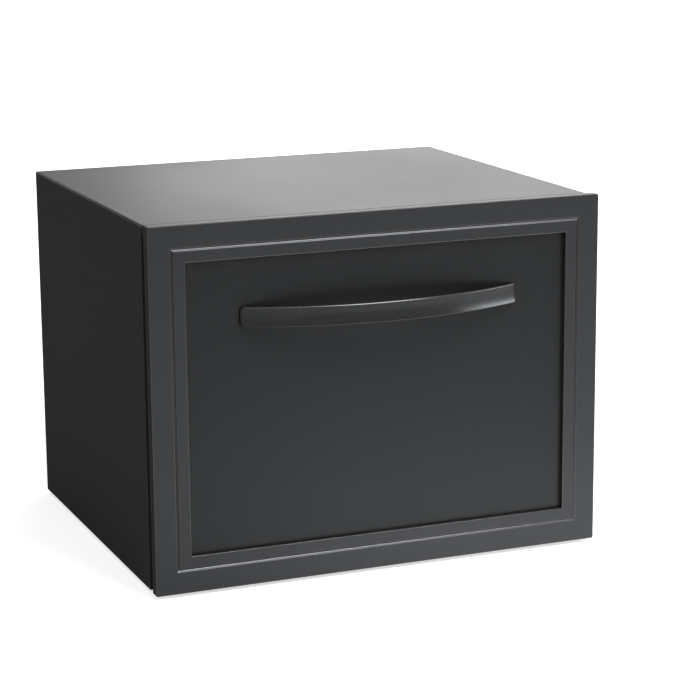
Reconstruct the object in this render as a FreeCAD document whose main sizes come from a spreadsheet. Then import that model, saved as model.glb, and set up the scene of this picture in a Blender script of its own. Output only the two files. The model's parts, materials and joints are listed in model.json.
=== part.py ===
import FreeCAD, Part

import math
import os

import Sketcher

# A drawer minibar fridge in millimetres. +Z is up, the drawer front looks along -Y, X runs
# across the front, and the origin is on the floor at the middle of the whole outline.

SIZES = {
    # Outline
    "front_width": 486.0,
    "front_height": 370.0,
    "body_depth": 420.0,
    "handle_reach": 33.0,
    "foot_drop": 4.0,
    "cabinet_side_inset": 1.5,
    "cabinet_top_inset": 2.0,
    # Drawer front
    "frame_thick": 19.0,
    "frame_margin": 24.0,
    "frame_wall": 3.0,
    "frame_corner": 1.5,
    "frame_edge": 0.8,
    "groove_chamfer": 1.4,
    "bezel_width": 13.5,
    "bezel_thick": 5.5,
    "bezel_edge": 0.6,
    "panel_thick": 3.0,
    "seat_gap": 0.1,
    "front_liner_gauge": 1.5,
    "plug_side_gap": 6.0,
    "plug_reach": 14.0,
    "gasket_thick": 5.0,
    "gasket_inset": 9.0,
    "gasket_width": 18.0,
    "gasket_gap": 0.3,
    "magnet_width": 9.0,
    "magnet_thick": 3.0,
    # Handle
    "handle_span": 298.5,
    "handle_height": 20.0,
    "handle_thick": 5.0,
    "handle_centre_drop": 96.0,
    "handle_corner": 4.0,
    "scoop_height": 15.0,
    "scoop_depth": 2.2,
    "handle_post_inset": 11.0,
    "handle_post_radius": 5.0,
    "handle_screw_radius": 2.0,
    "handle_screw_bite": 5.5,
    # Cabinet sheet metal
    "shell_gauge": 1.0,
    "shell_bend": 2.5,
    "front_return": 33.0,
    "rear_return": 14.0,
    "pan_flange": 16.0,
    "rear_room": 69.0,
    "cover_gauge": 1.2,
    "cover_gap": 0.5,
    # Insulation and inner liner
    "liner_gauge": 1.5,
    "side_foam": 34.0,
    "floor_foam": 35.0,
    "roof_foam": 34.0,
    "rear_foam": 40.0,
    "liner_corner": 12.0,
    "foam_gap": 0.2,
    # Feet and fixing nuts
    "foot_radius": 10.0,
    "foot_side_inset": 16.0,
    "foot_front_inset": 14.0,
    "foot_rear_inset": 27.0,
    "foot_stem_radius": 2.0,
    "foot_stem_length": 9.0,
    "fixing_spacing_wide": 380.0,
    "fixing_spacing_deep": 220.0,
    "fixing_bore": 3.0,
    "fixing_body_radius": 4.5,
    "fixing_flange_radius": 7.0,
    "fixing_flange_thick": 1.2,
    "fixing_length": 12.0,
    # Telescopic slides
    "slide_space": 15.0,
    "slide_rear_gap": 12.8,
    "slide_height": 45.0,
    "slide_gauge": 1.2,
    "slide_lift": 70.0,
    "slide_front_gap": 10.0,
    "slide_head_room": 1.8,
    "slide_lip": 1.6,
    "middle_lip": 0.9,
    "cage_gauge": 0.8,
    "cage_length": 120.0,
    "cage_pitch": 26.0,
    "run_gap": 0.4,
    "ball_radius": 1.6,
    "ball_gap": 0.3,
    "slide_screw_radius": 1.9,
    "slide_screw_head": 3.4,
    "slide_screw_head_thick": 1.3,
    "slide_screw_bite": 12.0,
    # Drawer bin and dividers
    "bin_lift": 16.0,
    "bin_height": 140.0,
    "bin_wall": 2.5,
    "bin_rear_gap": 2.1,
    "bin_corner": 9.0,
    "bin_rim": 5.0,
    "divider_thick": 3.0,
    "divider_ear": 8.0,
    "divider_ear_height": 5.0,
    "divider_offset": 63.0,
    "divider_gap": 0.4,
    "front_screw_side_inset": 38.0,
    "front_screw_end_inset": 28.0,
    "bin_screw_radius": 1.9,
    "bin_screw_head": 3.8,
    "bin_screw_head_thick": 2.0,
    # Cold side
    "cool_drop": 108.0,
    "block_width": 60.0,
    "window_gap": 0.5,
    "module_width": 40.0,
    "module_thick": 3.8,
    "cold_sink_width": 100.0,
    "cold_sink_base": 4.0,
    "cold_fin_length": 18.0,
    "cold_fin_thick": 1.2,
    "cold_fin_count": 14,
    "cold_fan_size": 80.0,
    "cold_fan_thick": 15.0,
    "cold_fan_pitch": 71.5,
    "cover_width": 132.0,
    "cover_height": 150.0,
    "cover_wall": 2.0,
    "cover_air_gap": 6.0,
    "grille_slot": 4.0,
    "grille_pitch": 8.0,
    "grille_count": 9,
    # Hot side
    "hot_sink_width": 120.0,
    "hot_sink_base": 5.0,
    "hot_fin_length": 26.0,
    "hot_fin_thick": 1.5,
    "hot_fin_count": 14,
    "hot_fan_size": 92.0,
    "hot_fan_thick": 25.0,
    "hot_fan_pitch": 82.5,
    "clamp_screw_radius": 2.0,
    "clamp_screw_head": 3.2,
    "clamp_screw_bite": 10.0,
    # Fans
    "fan_rim": 3.0,
    "fan_hub": 17.0,
    "fan_hub_wall": 3.0,
    "fan_tip_gap": 1.5,
    "fan_shaft": 1.5,
    "fan_bearing": 4.0,
    "shaft_gap": 0.05,
    "fan_strut": 4.0,
    "fan_corner": 4.0,
    "fan_screw_radius": 1.6,
    "fan_screw_head": 3.0,
    "fan_screw_bite": 5.0,
    "fan_blade_count": 7,
    "fan_blade_thick": 2.2,
    # Control housing, light and thermostat
    "housing_width": 150.0,
    "housing_depth": 72.0,
    "housing_height": 22.0,
    "housing_wall": 2.0,
    "housing_front_gap": 48.0,
    "lens_width": 64.0,
    "lens_depth": 34.0,
    "lens_offset": 30.0,
    "lens_rim": 2.0,
    "lamp_size": 5.4,
    "lamp_pitch": 19.0,
    "board_gauge": 1.6,
    "knob_offset": 42.0,
    "knob_radius": 14.0,
    "knob_height": 9.0,
    "knob_grip_count": 12,
    "knob_grip_radius": 2.0,
    "knob_shaft_radius": 3.0,
    "knob_flute_height": 7.2,
    "knob_flute_depth": 1.2,
    "knob_mark_width": 1.2,
    "knob_mark_depth": 0.6,
    "knob_mark_length": 9.0,
    "knob_gap": 0.6,
    "pot_width": 20.0,
    "pot_height": 9.0,
    "pot_bore": 6.0,
    "sensor_radius": 3.0,
    "sensor_length": 26.0,
    "switch_length": 22.0,
    "switch_width": 6.0,
    "switch_offset": 150.0,
    # Electrics behind the rear panel
    "board_width": 84.0,
    "board_height": 100.0,
    "board_side_gap": 47.5,
    "board_lift": 90.0,
    "standoff_length": 8.0,
    "standoff_radius": 3.5,
    "standoff_stem": 1.8,
    "board_hole_inset": 6.0,
    "supply_width": 130.0,
    "supply_height": 76.0,
    "supply_depth": 52.0,
    "supply_side_gap": 34.5,
    "supply_gap": 3.0,
    "supply_slot": 4.0,
    "supply_slot_pitch": 13.0,
    "supply_slot_count": 8,
    "supply_slot_height": 30.0,
    "transformer_size": 36.0,
    "supply_can_radius": 10.0,
    "supply_can_height": 30.0,
    "supply_can_offset": 43.0,
    "inlet_width": 28.0,
    "inlet_height": 20.0,
    "inlet_depth": 26.0,
    "inlet_flange": 11.0,
    "inlet_flange_thick": 2.5,
    "inlet_wall": 2.0,
    "inlet_recess": 18.0,
    "inlet_side_gap": 34.5,
    "inlet_lift": 110.0,
    "pin_length": 11.0,
    "pin_wide": 4.0,
    "pin_thin": 2.0,
    "pin_spacing": 7.0,
    "pin_rise": 2.4,
    "pin_tail": 7.0,
    # Condensate
    "drain_radius": 5.0,
    "drain_bore": 3.5,
    "drain_tail": 14.0,
    "tray_width": 110.0,
    "tray_side_gap": 20.0,
    "tray_height": 14.0,
    "tray_wall": 1.5,
    # Rear cover vents and screws
    "vent_width": 62.0,
    "vent_slot": 4.0,
    "vent_pitch": 11.0,
    "vent_rows": 19,
    "vent_columns": 4,
    "vent_column_pitch": 84.0,
    "vent_drop": 18.0,
    "low_vent_rows": 5,
    "cover_screw_radius": 1.9,
    "cover_screw_head": 4.0,
    "cover_screw_head_thick": 2.2,
    "cover_screw_bite": 6.0,
    # Shared
    "overrun": 2.0,
}


class Length:
    """A size together with the sheet expression that gives it."""

    def __init__(self, text, value):
        self.text = text
        self.value = value

    def __add__(self, other):
        return Length(f"({self.text} + {text_of(other)})", self.value + value_of(other))

    def __radd__(self, other):
        return self + other

    def __sub__(self, other):
        return Length(f"({self.text} - {text_of(other)})", self.value - value_of(other))

    def __rsub__(self, other):
        return -self + other

    def __mul__(self, other):
        return Length(f"({self.text} * {text_of(other)})", self.value * value_of(other))

    def __rmul__(self, other):
        return self * other

    def __truediv__(self, other):
        return Length(f"({self.text} / {text_of(other)})", self.value / value_of(other))

    def __neg__(self):
        return Length(f"(0 - {self.text})", -self.value)


def text_of(item):
    return item.text if isinstance(item, Length) else repr(float(item))


def value_of(item):
    return item.value if isinstance(item, Length) else float(item)


document = FreeCAD.newDocument("minibar")
sheet = document.addObject("Spreadsheet::Sheet", "sizes")
for row, (name, size) in enumerate(SIZES.items(), start=1):
    sheet.set(f"A{row}", name)
    sheet.set(f"B{row}", str(size))
    sheet.setAlias(f"B{row}", name)
document.recompute()


class Sizes:
    """Every named size of the sheet as an attribute."""


S = Sizes()
for name, size in SIZES.items():
    setattr(S, name, Length(f"sizes.{name}", float(size)))

nodes = {}

DIRECTIONS = {
    "x": (1, 0, 0),
    "-x": (-1, 0, 0),
    "y": (0, 1, 0),
    "-y": (0, -1, 0),
    "z": (0, 0, 1),
    "-z": (0, 0, -1),
}


def bind(item, prop, size):
    """Tie one property to the sheet."""
    item.setExpression(prop, text_of(size))


def place(item, spot):
    for axis, size in zip("xyz", spot):
        bind(item, f"Placement.Base.{axis}", size)


def keep(label, item):
    """Name a finished piece, which makes it a node."""
    item.Label = label
    nodes[label] = item
    return item


def box(low, high):
    item = document.addObject("Part::Box", "block")
    place(item, low)
    for prop, first, last in zip(("Length", "Width", "Height"), low, high):
        bind(item, prop, last - first)
    return item


def cylinder(start, direction, radius, length):
    item = document.addObject("Part::Cylinder", "round")
    turn = FreeCAD.Rotation(FreeCAD.Vector(0, 0, 1), FreeCAD.Vector(*DIRECTIONS[direction]))
    item.Placement = FreeCAD.Placement(FreeCAD.Vector(), turn)
    place(item, start)
    bind(item, "Radius", radius)
    bind(item, "Height", length)
    return item


def fuse(items):
    item = document.addObject("Part::MultiFuse", "union")
    item.Shapes = items
    return item


def group(items):
    item = document.addObject("Part::Compound", "set")
    item.Links = items
    return item


def cut(base, tools):
    item = document.addObject("Part::Cut", "cut")
    item.Base = base
    item.Tool = tools[0] if len(tools) == 1 else group(tools)
    return item


def common(first, second):
    item = document.addObject("Part::Common", "overlap")
    item.Base = first
    item.Tool = second
    return item


def shifted(spot, direction, length):
    return tuple(part + length * way for part, way in zip(spot, DIRECTIONS[direction]))


def opposite(direction):
    return direction[1:] if direction.startswith("-") else f"-{direction}"


socket_depth_share = 0.6
socket_width_share = 0.55


def screw(seat, direction, shank_radius, length, head_radius, head_thick):
    """A screw with a hexagon socket whose head sits on seat and whose tip points along direction."""
    back = opposite(direction)
    head = cylinder(seat, back, head_radius, head_thick)
    shank = cylinder(seat, direction, shank_radius, length)
    socket = document.addObject("Part::Prism", "socket")
    socket.Polygon = 6
    socket.Placement = FreeCAD.Placement(FreeCAD.Vector(), head.Placement.Rotation)
    place(socket, shifted(seat, back, head_thick * (1 - socket_depth_share)))
    bind(socket, "Circumradius", head_radius * socket_width_share)
    bind(socket, "Height", head_thick)
    return cut(fuse([head, shank]), [socket])


def body(label):
    return keep(label, document.addObject("PartDesign::Body", label))


def origin_of(owner, role):
    return next(item for item in owner.Origin.OriginFeatures if item.Role == role)


def rectangle(low, high):
    return [low, (high[0], low[1]), high, (low[0], high[1])]


def centred(across, low, high):
    """A rectangle from low to high that is centred on the upright axis."""
    return rectangle((-across, low), (across, high))


def draw_outline(sketch, points):
    first = sketch.GeometryCount
    ends = [FreeCAD.Vector(value_of(x), value_of(y), 0) for x, y in points]
    lines = [Part.LineSegment(start, end) for start, end in zip(ends, ends[1:] + ends[:1])]
    sketch.addGeometry(lines, False)
    count = len(points)
    for index in range(count):
        after = first + (index + 1) % count
        sketch.addConstraint(Sketcher.Constraint("Coincident", first + index, 2, after, 1))
    for index, point in enumerate(points):
        for kind, size in zip(("DistanceX", "DistanceY"), point):
            rule = Sketcher.Constraint(kind, -1, 1, first + index, 1, value_of(size))
            number = sketch.addConstraint(rule)
            if isinstance(size, Length):
                bind(sketch, f"Constraints[{number}]", size)


def draw_circle(sketch, centre, radius):
    first = sketch.GeometryCount
    middle = FreeCAD.Vector(value_of(centre[0]), value_of(centre[1]), 0)
    sketch.addGeometry(Part.Circle(middle, FreeCAD.Vector(0, 0, 1), value_of(radius)), False)
    for kind, size in zip(("DistanceX", "DistanceY"), centre):
        rule = Sketcher.Constraint(kind, -1, 1, first, 3, value_of(size))
        number = sketch.addConstraint(rule)
        if isinstance(size, Length):
            bind(sketch, f"Constraints[{number}]", size)
    number = sketch.addConstraint(Sketcher.Constraint("Radius", first, value_of(radius)))
    bind(sketch, f"Constraints[{number}]", radius)


def draft(owner, plane, level, outlines, circles=()):
    """A sketch square to X, Y or Z at a level along that axis."""
    role = {"x": "YZ_Plane", "y": "XZ_Plane", "z": "XY_Plane"}[plane]
    sketch = owner.newObject("Sketcher::SketchObject", "draft")
    sketch.AttachmentSupport = [(origin_of(owner, role), "")]
    sketch.MapMode = "FlatFace"
    bind(sketch, "AttachmentOffset.Base.z", -1 * level if plane == "y" else level)
    for points in outlines:
        draw_outline(sketch, points)
    for centre, radius in circles:
        draw_circle(sketch, centre, radius)
    return sketch


def add(owner, plane, level, depth, outlines, circles=()):
    """Material from level on along the plane's axis."""
    sketch = draft(owner, plane, level, outlines, circles)
    pad = owner.newObject("PartDesign::Pad", "pad")
    pad.Profile = sketch
    pad.Reversed = plane == "y"
    bind(pad, "Length", depth)
    return pad


def carve(owner, plane, level, depth, outlines, circles=()):
    """A hollow from level on along the plane's axis."""
    sketch = draft(owner, plane, level, outlines, circles)
    pocket = owner.newObject("PartDesign::Pocket", "pocket")
    pocket.Profile = sketch
    pocket.Reversed = plane != "y"
    bind(pocket, "Length", depth)
    return pocket


def repeat(owner, feature, axis, pitch, count):
    pattern = owner.newObject("PartDesign::LinearPattern", "row")
    pattern.Originals = [feature]
    pattern.Direction = (origin_of(owner, f"{axis.upper()}_Axis"), [""])
    bind(pattern, "Length", pitch * (count - 1))
    bind(pattern, "Occurrences", count)
    owner.Tip = pattern
    return pattern


def repeat_grid(owner, feature, first, second):
    pattern = repeat(owner, feature, *first)
    axis, pitch, count = second
    pattern.Direction2 = (origin_of(owner, f"{axis.upper()}_Axis"), [""])
    bind(pattern, "Length2", pitch * (count - 1))
    bind(pattern, "Occurrences2", count)
    return pattern


def repeat_round(owner, feature, axis, count):
    pattern = owner.newObject("PartDesign::PolarPattern", "ring")
    pattern.Originals = [feature]
    pattern.Axis = (origin_of(owner, f"{axis.upper()}_Axis"), [""])
    pattern.Angle = 360
    bind(pattern, "Occurrences", count)
    owner.Tip = pattern
    return pattern


def edge_names(owner, axis, test):
    """The straight edges of the newest feature along one axis that pass the test on their middle."""
    document.recompute()
    direction = FreeCAD.Vector(*DIRECTIONS[axis])
    names = []
    for number, edge in enumerate(owner.Tip.Shape.Edges, start=1):
        if edge.Curve.TypeId != "Part::GeomLine":
            continue
        if abs(edge.Curve.Direction.dot(direction)) > 0.999 and test(edge.CenterOfMass):
            names.append(f"Edge{number}")
    return names


def soften(owner, radius, names):
    """Round the named edges of the newest feature."""
    base = owner.Tip
    feature = owner.newObject("PartDesign::Fillet", "fillet")
    feature.Base = (base, names)
    bind(feature, "Radius", radius)


def fillet(owner, radius, axis, test):
    soften(owner, radius, edge_names(owner, axis, test))


def bevel(owner, size, names):
    """Chamfer the named edges of the newest feature."""
    base = owner.Tip
    feature = owner.newObject("PartDesign::Chamfer", "chamfer")
    feature.Base = (base, names)
    bind(feature, "Size", size)


def near(value, *sizes):
    """Whether a coordinate lies on one of the named places."""
    return any(abs(value - value_of(size)) < value_of(S.seat_gap) / 2 for size in sizes)


# Places that several pieces share

front_y = (S.handle_reach - S.body_depth) / 2
back_y = front_y + S.body_depth
base_z = S.foot_drop
front_half = S.front_width / 2
front_top = base_z + S.front_height
frame_back = front_y + S.frame_thick
collar_y = frame_back + S.gasket_thick + S.gasket_gap
cabinet_half = front_half - S.cabinet_side_inset
cabinet_top = front_top - S.cabinet_top_inset
cover_back = back_y - S.cover_screw_head_thick
cover_y = cover_back - S.cover_gauge
return_y = cover_y - S.shell_gauge
panel_back = cover_y - S.rear_room
panel_front = panel_back - S.shell_gauge

liner_half = cabinet_half - S.shell_gauge - S.side_foam
liner_low = base_z + S.shell_gauge + S.floor_foam
liner_high = cabinet_top - S.shell_gauge - S.roof_foam
liner_back = panel_front - S.rear_foam
cavity_half = liner_half - S.liner_gauge
cavity_low = liner_low + S.liner_gauge
cavity_high = liner_high - S.liner_gauge
cavity_back = liner_back - S.liner_gauge
liner_front = collar_y + S.shell_gauge
liner_flange_back = liner_front + S.liner_gauge

shell_inner = cabinet_half - S.shell_gauge
foam_half = shell_inner - S.shell_gauge
panel_face = front_y + S.bezel_thick
panel_rear = panel_face + S.panel_thick
front_liner_y = frame_back - S.front_liner_gauge
plug_half = cavity_half - S.plug_side_gap
plug_low = cavity_low + S.plug_side_gap
plug_high = cavity_high - S.plug_side_gap
plug_back = frame_back + S.plug_reach

cool_z = liner_high - S.cool_drop
block_back = panel_back - S.module_thick
fin_front = cavity_back - S.cold_sink_base - S.cold_fin_length
cold_fan_front = fin_front - S.cold_fan_thick
cold_cover_front = cold_fan_front - S.cover_air_gap
hot_base_back = panel_back + S.hot_sink_base
hot_fin_back = hot_base_back + S.hot_fin_length
hot_fan_back = hot_fin_back + S.hot_fan_thick

drain_z = cavity_low + S.drain_radius + S.liner_gauge
tray_low = base_z + S.shell_gauge

inlet_x = S.inlet_side_gap - foam_half
inlet_z = base_z + S.inlet_lift
supply_x = S.supply_side_gap + S.supply_width / 2 - foam_half
board_x = foam_half - S.board_side_gap - S.board_width / 2
board_z = base_z + S.board_lift

slide_z = cavity_low + S.bin_lift + S.slide_lift
slide_front = collar_y + S.slide_front_gap
slide_back = cavity_back - S.slide_rear_gap
slide_length = slide_back - slide_front
bin_half = cavity_half - S.slide_space
bin_low = cavity_low + S.bin_lift
bin_high = bin_low + S.bin_height
bin_back = cold_cover_front - S.bin_rear_gap - S.bin_rim


def foot_spots(level):
    across = cabinet_half - S.foot_side_inset
    front = collar_y + S.foot_front_inset
    rear = return_y - S.foot_rear_inset
    return [(side * across, deep, level) for side in (-1, 1) for deep in (front, rear)]


def fixing_spots(level):
    middle = (collar_y + return_y) / 2
    deep = S.fixing_spacing_deep / 2
    across = S.fixing_spacing_wide / 2
    return [(side * across, middle + end * deep, level) for side in (-1, 1) for end in (-1, 1)]


def slide_screw_rows():
    """Where the three screws of each slide member lie along the drawer's travel."""
    row_shares = (0.1, 0.5, 0.9)
    return [slide_front + slide_length * share for share in row_shares]


# Cabinet

def make_cabinet_shell():
    """The folded wrapper: two sides and the top with a return at the front and the rear."""
    shell = body("cabinet_shell")
    inner_top = cabinet_top - S.shell_gauge

    def arch(across, top, inner_across, inner_high, low):
        return [(-across, low), (-inner_across, low), (-inner_across, inner_high),
                (inner_across, inner_high), (inner_across, low), (across, low),
                (across, top), (-across, top)]

    add(shell, "y", collar_y, return_y + S.shell_gauge - collar_y,
        [arch(cabinet_half, cabinet_top, shell_inner, inner_top, base_z)])
    fillet(shell, S.shell_bend, "y", lambda spot: near(spot.z, cabinet_top))
    fillet(shell, S.shell_bend - S.shell_gauge, "y", lambda spot: near(spot.z, inner_top))
    for deep, fold in ((collar_y, S.front_return), (return_y, S.rear_return)):
        add(shell, "y", deep, S.shell_gauge,
            [arch(shell_inner, inner_top, cabinet_half - fold, cabinet_top - fold,
                  base_z + S.shell_gauge)])
    carve(shell, "y", return_y - S.overrun, S.overrun * 2, [],
          [((x, z), S.cover_screw_radius) for x, y, z in cover_screw_spots()])


def make_base_pan():
    """The floor sheet with turned-up sides, front and rear."""
    pan = body("base_pan")
    deep = return_y + S.shell_gauge - collar_y
    spots = [((x, y), S.foot_stem_radius) for x, y, z in foot_spots(base_z)]
    nuts = [((x, y), S.fixing_body_radius) for x, y, z in fixing_spots(base_z)]
    outline = rectangle((-shell_inner, collar_y), (shell_inner, collar_y + deep))
    add(pan, "z", base_z, S.shell_gauge, [outline], spots + nuts)
    top = base_z + S.shell_gauge
    for side in (-1, 1):
        inner, outer = sorted((side * foam_half, side * shell_inner), key=value_of)
        add(pan, "y", liner_flange_back, panel_front - liner_flange_back,
            [rectangle((inner, top), (outer, top + S.pan_flange))])
    for deep, fold in ((collar_y, S.front_return), (return_y, S.rear_return)):
        add(pan, "y", deep, S.shell_gauge, [centred(cabinet_half - fold, top, base_z + fold)])


def make_rear_panel():
    """The sheet that closes the insulation, with a window for the cooling block."""
    panel = body("rear_panel")
    half = S.block_width / 2 + S.window_gap
    window = centred(half, cool_z - half, cool_z + half)
    outline = centred(shell_inner - S.cover_gap, base_z + S.shell_gauge, cabinet_top - S.shell_bend)
    holes = [((x, z), S.standoff_stem) for x, y, z in standoff_spots(panel_front)]
    add(panel, "y", panel_front, S.shell_gauge, [outline, window], holes)
    carve(panel, "y", panel_front - S.overrun, S.overrun * 2, [],
          [((0, drain_z), S.drain_radius + S.window_gap)])


def cover_screw_spots():
    """Eight screws round the rear cover, each in the middle of the returns."""
    across = cabinet_half - S.rear_return / 2
    low = base_z + S.front_return
    high = cabinet_top - S.rear_return / 2
    middle = (low + high) / 2
    sides = [(side * across, cover_back, height) for side in (-1, 1) for height in (low, middle)]
    across_shares = (-0.9, -0.3, 0.3, 0.9)
    top = [(across * share, cover_back, high) for share in across_shares]
    return sides + top


def make_rear_cover():
    """The louvred sheet at the back with the cut-out for the mains inlet."""
    cover = body("rear_cover")
    edge = cabinet_half - S.cover_gap
    outline = centred(edge, base_z + S.cover_gap, cabinet_top - S.cover_gap)
    across = S.inlet_width / 2
    tall = S.inlet_height / 2
    window = rectangle((inlet_x - across, inlet_z - tall), (inlet_x + across, inlet_z + tall))
    holes = [((x, z), S.cover_screw_radius) for x, y, z in cover_screw_spots()]
    add(cover, "y", cover_y, S.cover_gauge, [outline, window], holes)
    across = S.vent_column_pitch * (S.vent_columns - 1) / 2
    left = -1 * across - S.vent_width / 2
    start = cabinet_top - S.vent_drop - S.vent_slot - S.vent_pitch * (S.vent_rows - 1)
    slot = rectangle((left, start), (left + S.vent_width, start + S.vent_slot))
    rows = carve(cover, "y", cover_y - S.overrun, S.cover_gauge + S.overrun * 2, [slot])
    repeat_grid(cover, rows, ("x", S.vent_column_pitch, S.vent_columns),
                ("z", S.vent_pitch, S.vent_rows))
    right = across - S.vent_width / 2
    low = base_z + S.rear_return * 2
    slot = rectangle((right, low), (right + S.vent_width, low + S.vent_slot))
    rows = carve(cover, "y", cover_y - S.overrun, S.cover_gauge + S.overrun * 2, [slot])
    repeat(cover, rows, "z", S.vent_pitch, S.low_vent_rows)


def make_rear_cover_screws():
    keep("rear_cover_screws", group([
        screw(spot, "-y", S.cover_screw_radius, S.cover_screw_bite, S.cover_screw_head,
              S.cover_screw_head_thick)
        for spot in cover_screw_spots()
    ]))


def make_insulation():
    """Foam that fills the space between the shell and the inner liner."""
    low = base_z + S.shell_gauge
    outer = box((-foam_half, liner_flange_back, low), (foam_half, panel_front, cabinet_top - S.shell_bend))
    past = liner_flange_back - S.overrun
    hollow = box((-liner_half, past, liner_low), (liner_half, liner_back, liner_high))
    half = S.block_width / 2 + S.window_gap
    window = box((-half, liner_back - S.overrun, cool_z - half),
                 (half, panel_front + S.overrun, cool_z + half))
    drain = cylinder((0, liner_back - S.overrun, drain_z), "y", S.drain_radius + S.foam_gap,
                     S.rear_foam + S.overrun * 2)
    tools = [hollow, window, drain, switch_block(S.foam_gap)]
    for spot in foot_spots(low - S.overrun):
        tools.append(cylinder(spot, "z", S.foot_stem_radius + S.foam_gap,
                              S.foot_stem_length + S.overrun * 2))
    for spot in fixing_spots(low - S.overrun):
        tools.append(cylinder(spot, "z", S.fixing_body_radius + S.foam_gap,
                              S.fixing_length + S.overrun))
    for side in (-1, 1):
        for deep in slide_screw_rows():
            seat = (side * (liner_half - S.overrun), deep, slide_z)
            tools.append(cylinder(seat, "x" if side > 0 else "-x",
                                  S.slide_screw_radius + S.foam_gap,
                                  S.slide_screw_bite + S.overrun))
    keep("insulation", cut(outer, tools))


def make_inner_liner():
    """The white moulded liner: an open box with a flange behind the front return."""
    liner = body("inner_liner")
    flange = foam_half - S.foam_gap
    add(liner, "y", liner_front, S.liner_gauge,
        [centred(flange, base_z + S.shell_gauge * 2, cabinet_top - S.shell_bend)])
    add(liner, "y", liner_flange_back, liner_back - liner_flange_back,
        [centred(liner_half, liner_low, liner_high)])
    carve(liner, "y", liner_front - S.overrun, cavity_back - liner_front + S.overrun,
          [centred(cavity_half, cavity_low, cavity_high)])
    fillet(liner, S.liner_corner, "y", lambda spot: near(abs(spot.x), cavity_half))
    fillet(liner, S.liner_corner + S.liner_gauge, "y", lambda spot: near(abs(spot.x), liner_half))
    half = S.block_width / 2 + S.window_gap
    carve(liner, "y", cavity_back - S.overrun, S.liner_gauge + S.overrun * 2,
                  [centred(half, cool_z - half, cool_z + half)],
                  [((0, drain_z), S.drain_radius)])
    rows = [((deep, slide_z), S.slide_screw_radius) for deep in slide_screw_rows()]
    for start in (-liner_half - S.overrun, cavity_half - S.overrun):
        carve(liner, "x", start, S.liner_gauge + S.overrun * 2, [], rows)


def make_feet():
    """Rubber feet pushed into the base pan by their stems."""
    feet = []
    for x, y, z in foot_spots(0):
        pad = cylinder((x, y, z), "z", S.foot_radius, base_z)
        stem = cylinder((x, y, base_z), "z", S.foot_stem_radius, S.foot_stem_length)
        feet.append(fuse([pad, stem]))
    keep("feet", group(feet))


def make_fixing_nuts():
    """Flanged bushes in the base pan that take the fixing bolts from below."""
    nuts = []
    for spot in fixing_spots(base_z):
        flange = cylinder(spot, "-z", S.fixing_flange_radius, S.fixing_flange_thick)
        barrel = cylinder(spot, "z", S.fixing_body_radius, S.fixing_length)
        low = shifted(spot, "-z", S.fixing_flange_thick + S.overrun)
        bore = cylinder(low, "z", S.fixing_bore, S.fixing_length + S.fixing_flange_thick + S.overrun * 2)
        nuts.append(cut(fuse([flange, barrel]), [bore]))
    keep("fixing_nuts", group(nuts))


# Telescopic slides, laid out outward from the liner wall to the bin wall

outer_web = S.slide_gauge
cage_out = outer_web + S.slide_head_room
middle_web = cage_out + S.cage_gauge + S.run_gap
cage_in = middle_web + S.slide_gauge + S.run_gap
inner_edge = cage_in + S.cage_gauge + S.run_gap
outer_ball = cage_out + S.cage_gauge + S.ball_gap * 2 + S.ball_radius
inner_ball = cage_in + S.cage_gauge + S.ball_gap + S.ball_radius
middle_edge = inner_ball + S.ball_radius + S.ball_gap + S.slide_gauge
outer_edge = middle_edge + S.run_gap + S.slide_gauge
race = (S.ball_radius + S.ball_gap) * 2
outer_tall = S.slide_height / 2
outer_inside = outer_tall - S.slide_gauge
middle_tall = outer_inside - race
middle_inside = middle_tall - S.slide_gauge
inner_tall = middle_inside - race
outer_ball_rise = middle_tall + race / 2
inner_ball_rise = inner_tall + race / 2


def channel(near_wall, far, tall, inside, lip):
    """A C section open towards the bin, with lips at its free edges, from the liner wall outward."""
    edge = far - S.slide_gauge
    web = near_wall + S.slide_gauge
    low_lip = inside - lip
    return [(near_wall, -tall), (far, -tall), (far, -low_lip), (edge, -low_lip), (edge, -inside),
            (web, -inside), (web, inside), (edge, inside), (edge, low_lip), (far, low_lip),
            (far, tall), (near_wall, tall)]


def slide_section(side, points):
    """Section points turned into X and Z for the left (-1) or right (1) slide."""
    return [(side * (cavity_half - out), slide_z + up) for out, up in points]


def slide_side(side):
    return "left" if side < 0 else "right"


def make_slide_outer(side):
    member = body(f"slide_outer_{slide_side(side)}")
    points = channel(0, outer_edge, outer_tall, outer_inside, S.slide_lip)
    add(member, "y", slide_front, slide_length, [slide_section(side, points)])
    rows = [((deep, slide_z), S.slide_screw_radius) for deep in slide_screw_rows()]
    wall = side * cavity_half
    start = wall - S.slide_gauge - S.overrun if side > 0 else wall - S.overrun
    carve(member, "x", start, S.slide_gauge + S.overrun * 2, [], rows)


def make_slide_middle(side):
    member = body(f"slide_middle_{slide_side(side)}")
    points = channel(middle_web, middle_edge, middle_tall, middle_inside, S.middle_lip)
    add(member, "y", slide_front, slide_length, [slide_section(side, points)])


def make_slide_inner(side):
    """The drawer member: a C section with its web against the bin."""
    member = body(f"slide_inner_{slide_side(side)}")
    inside = inner_tall - S.slide_gauge
    far = S.slide_space
    web = far - S.slide_gauge
    points = [(inner_edge, -inner_tall), (far, -inner_tall), (far, inner_tall), (inner_edge, inner_tall),
              (inner_edge, inside), (web, inside), (web, -inside), (inner_edge, -inside)]
    add(member, "y", slide_front, slide_length, [slide_section(side, points)])
    rows = [((deep, slide_z), S.bin_screw_radius) for deep in bin_screw_rows()]
    wall = side * bin_half
    start = wall - S.overrun if side > 0 else wall - S.slide_gauge - S.overrun
    carve(member, "x", start, S.slide_gauge + S.overrun * 2, [], rows)


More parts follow.
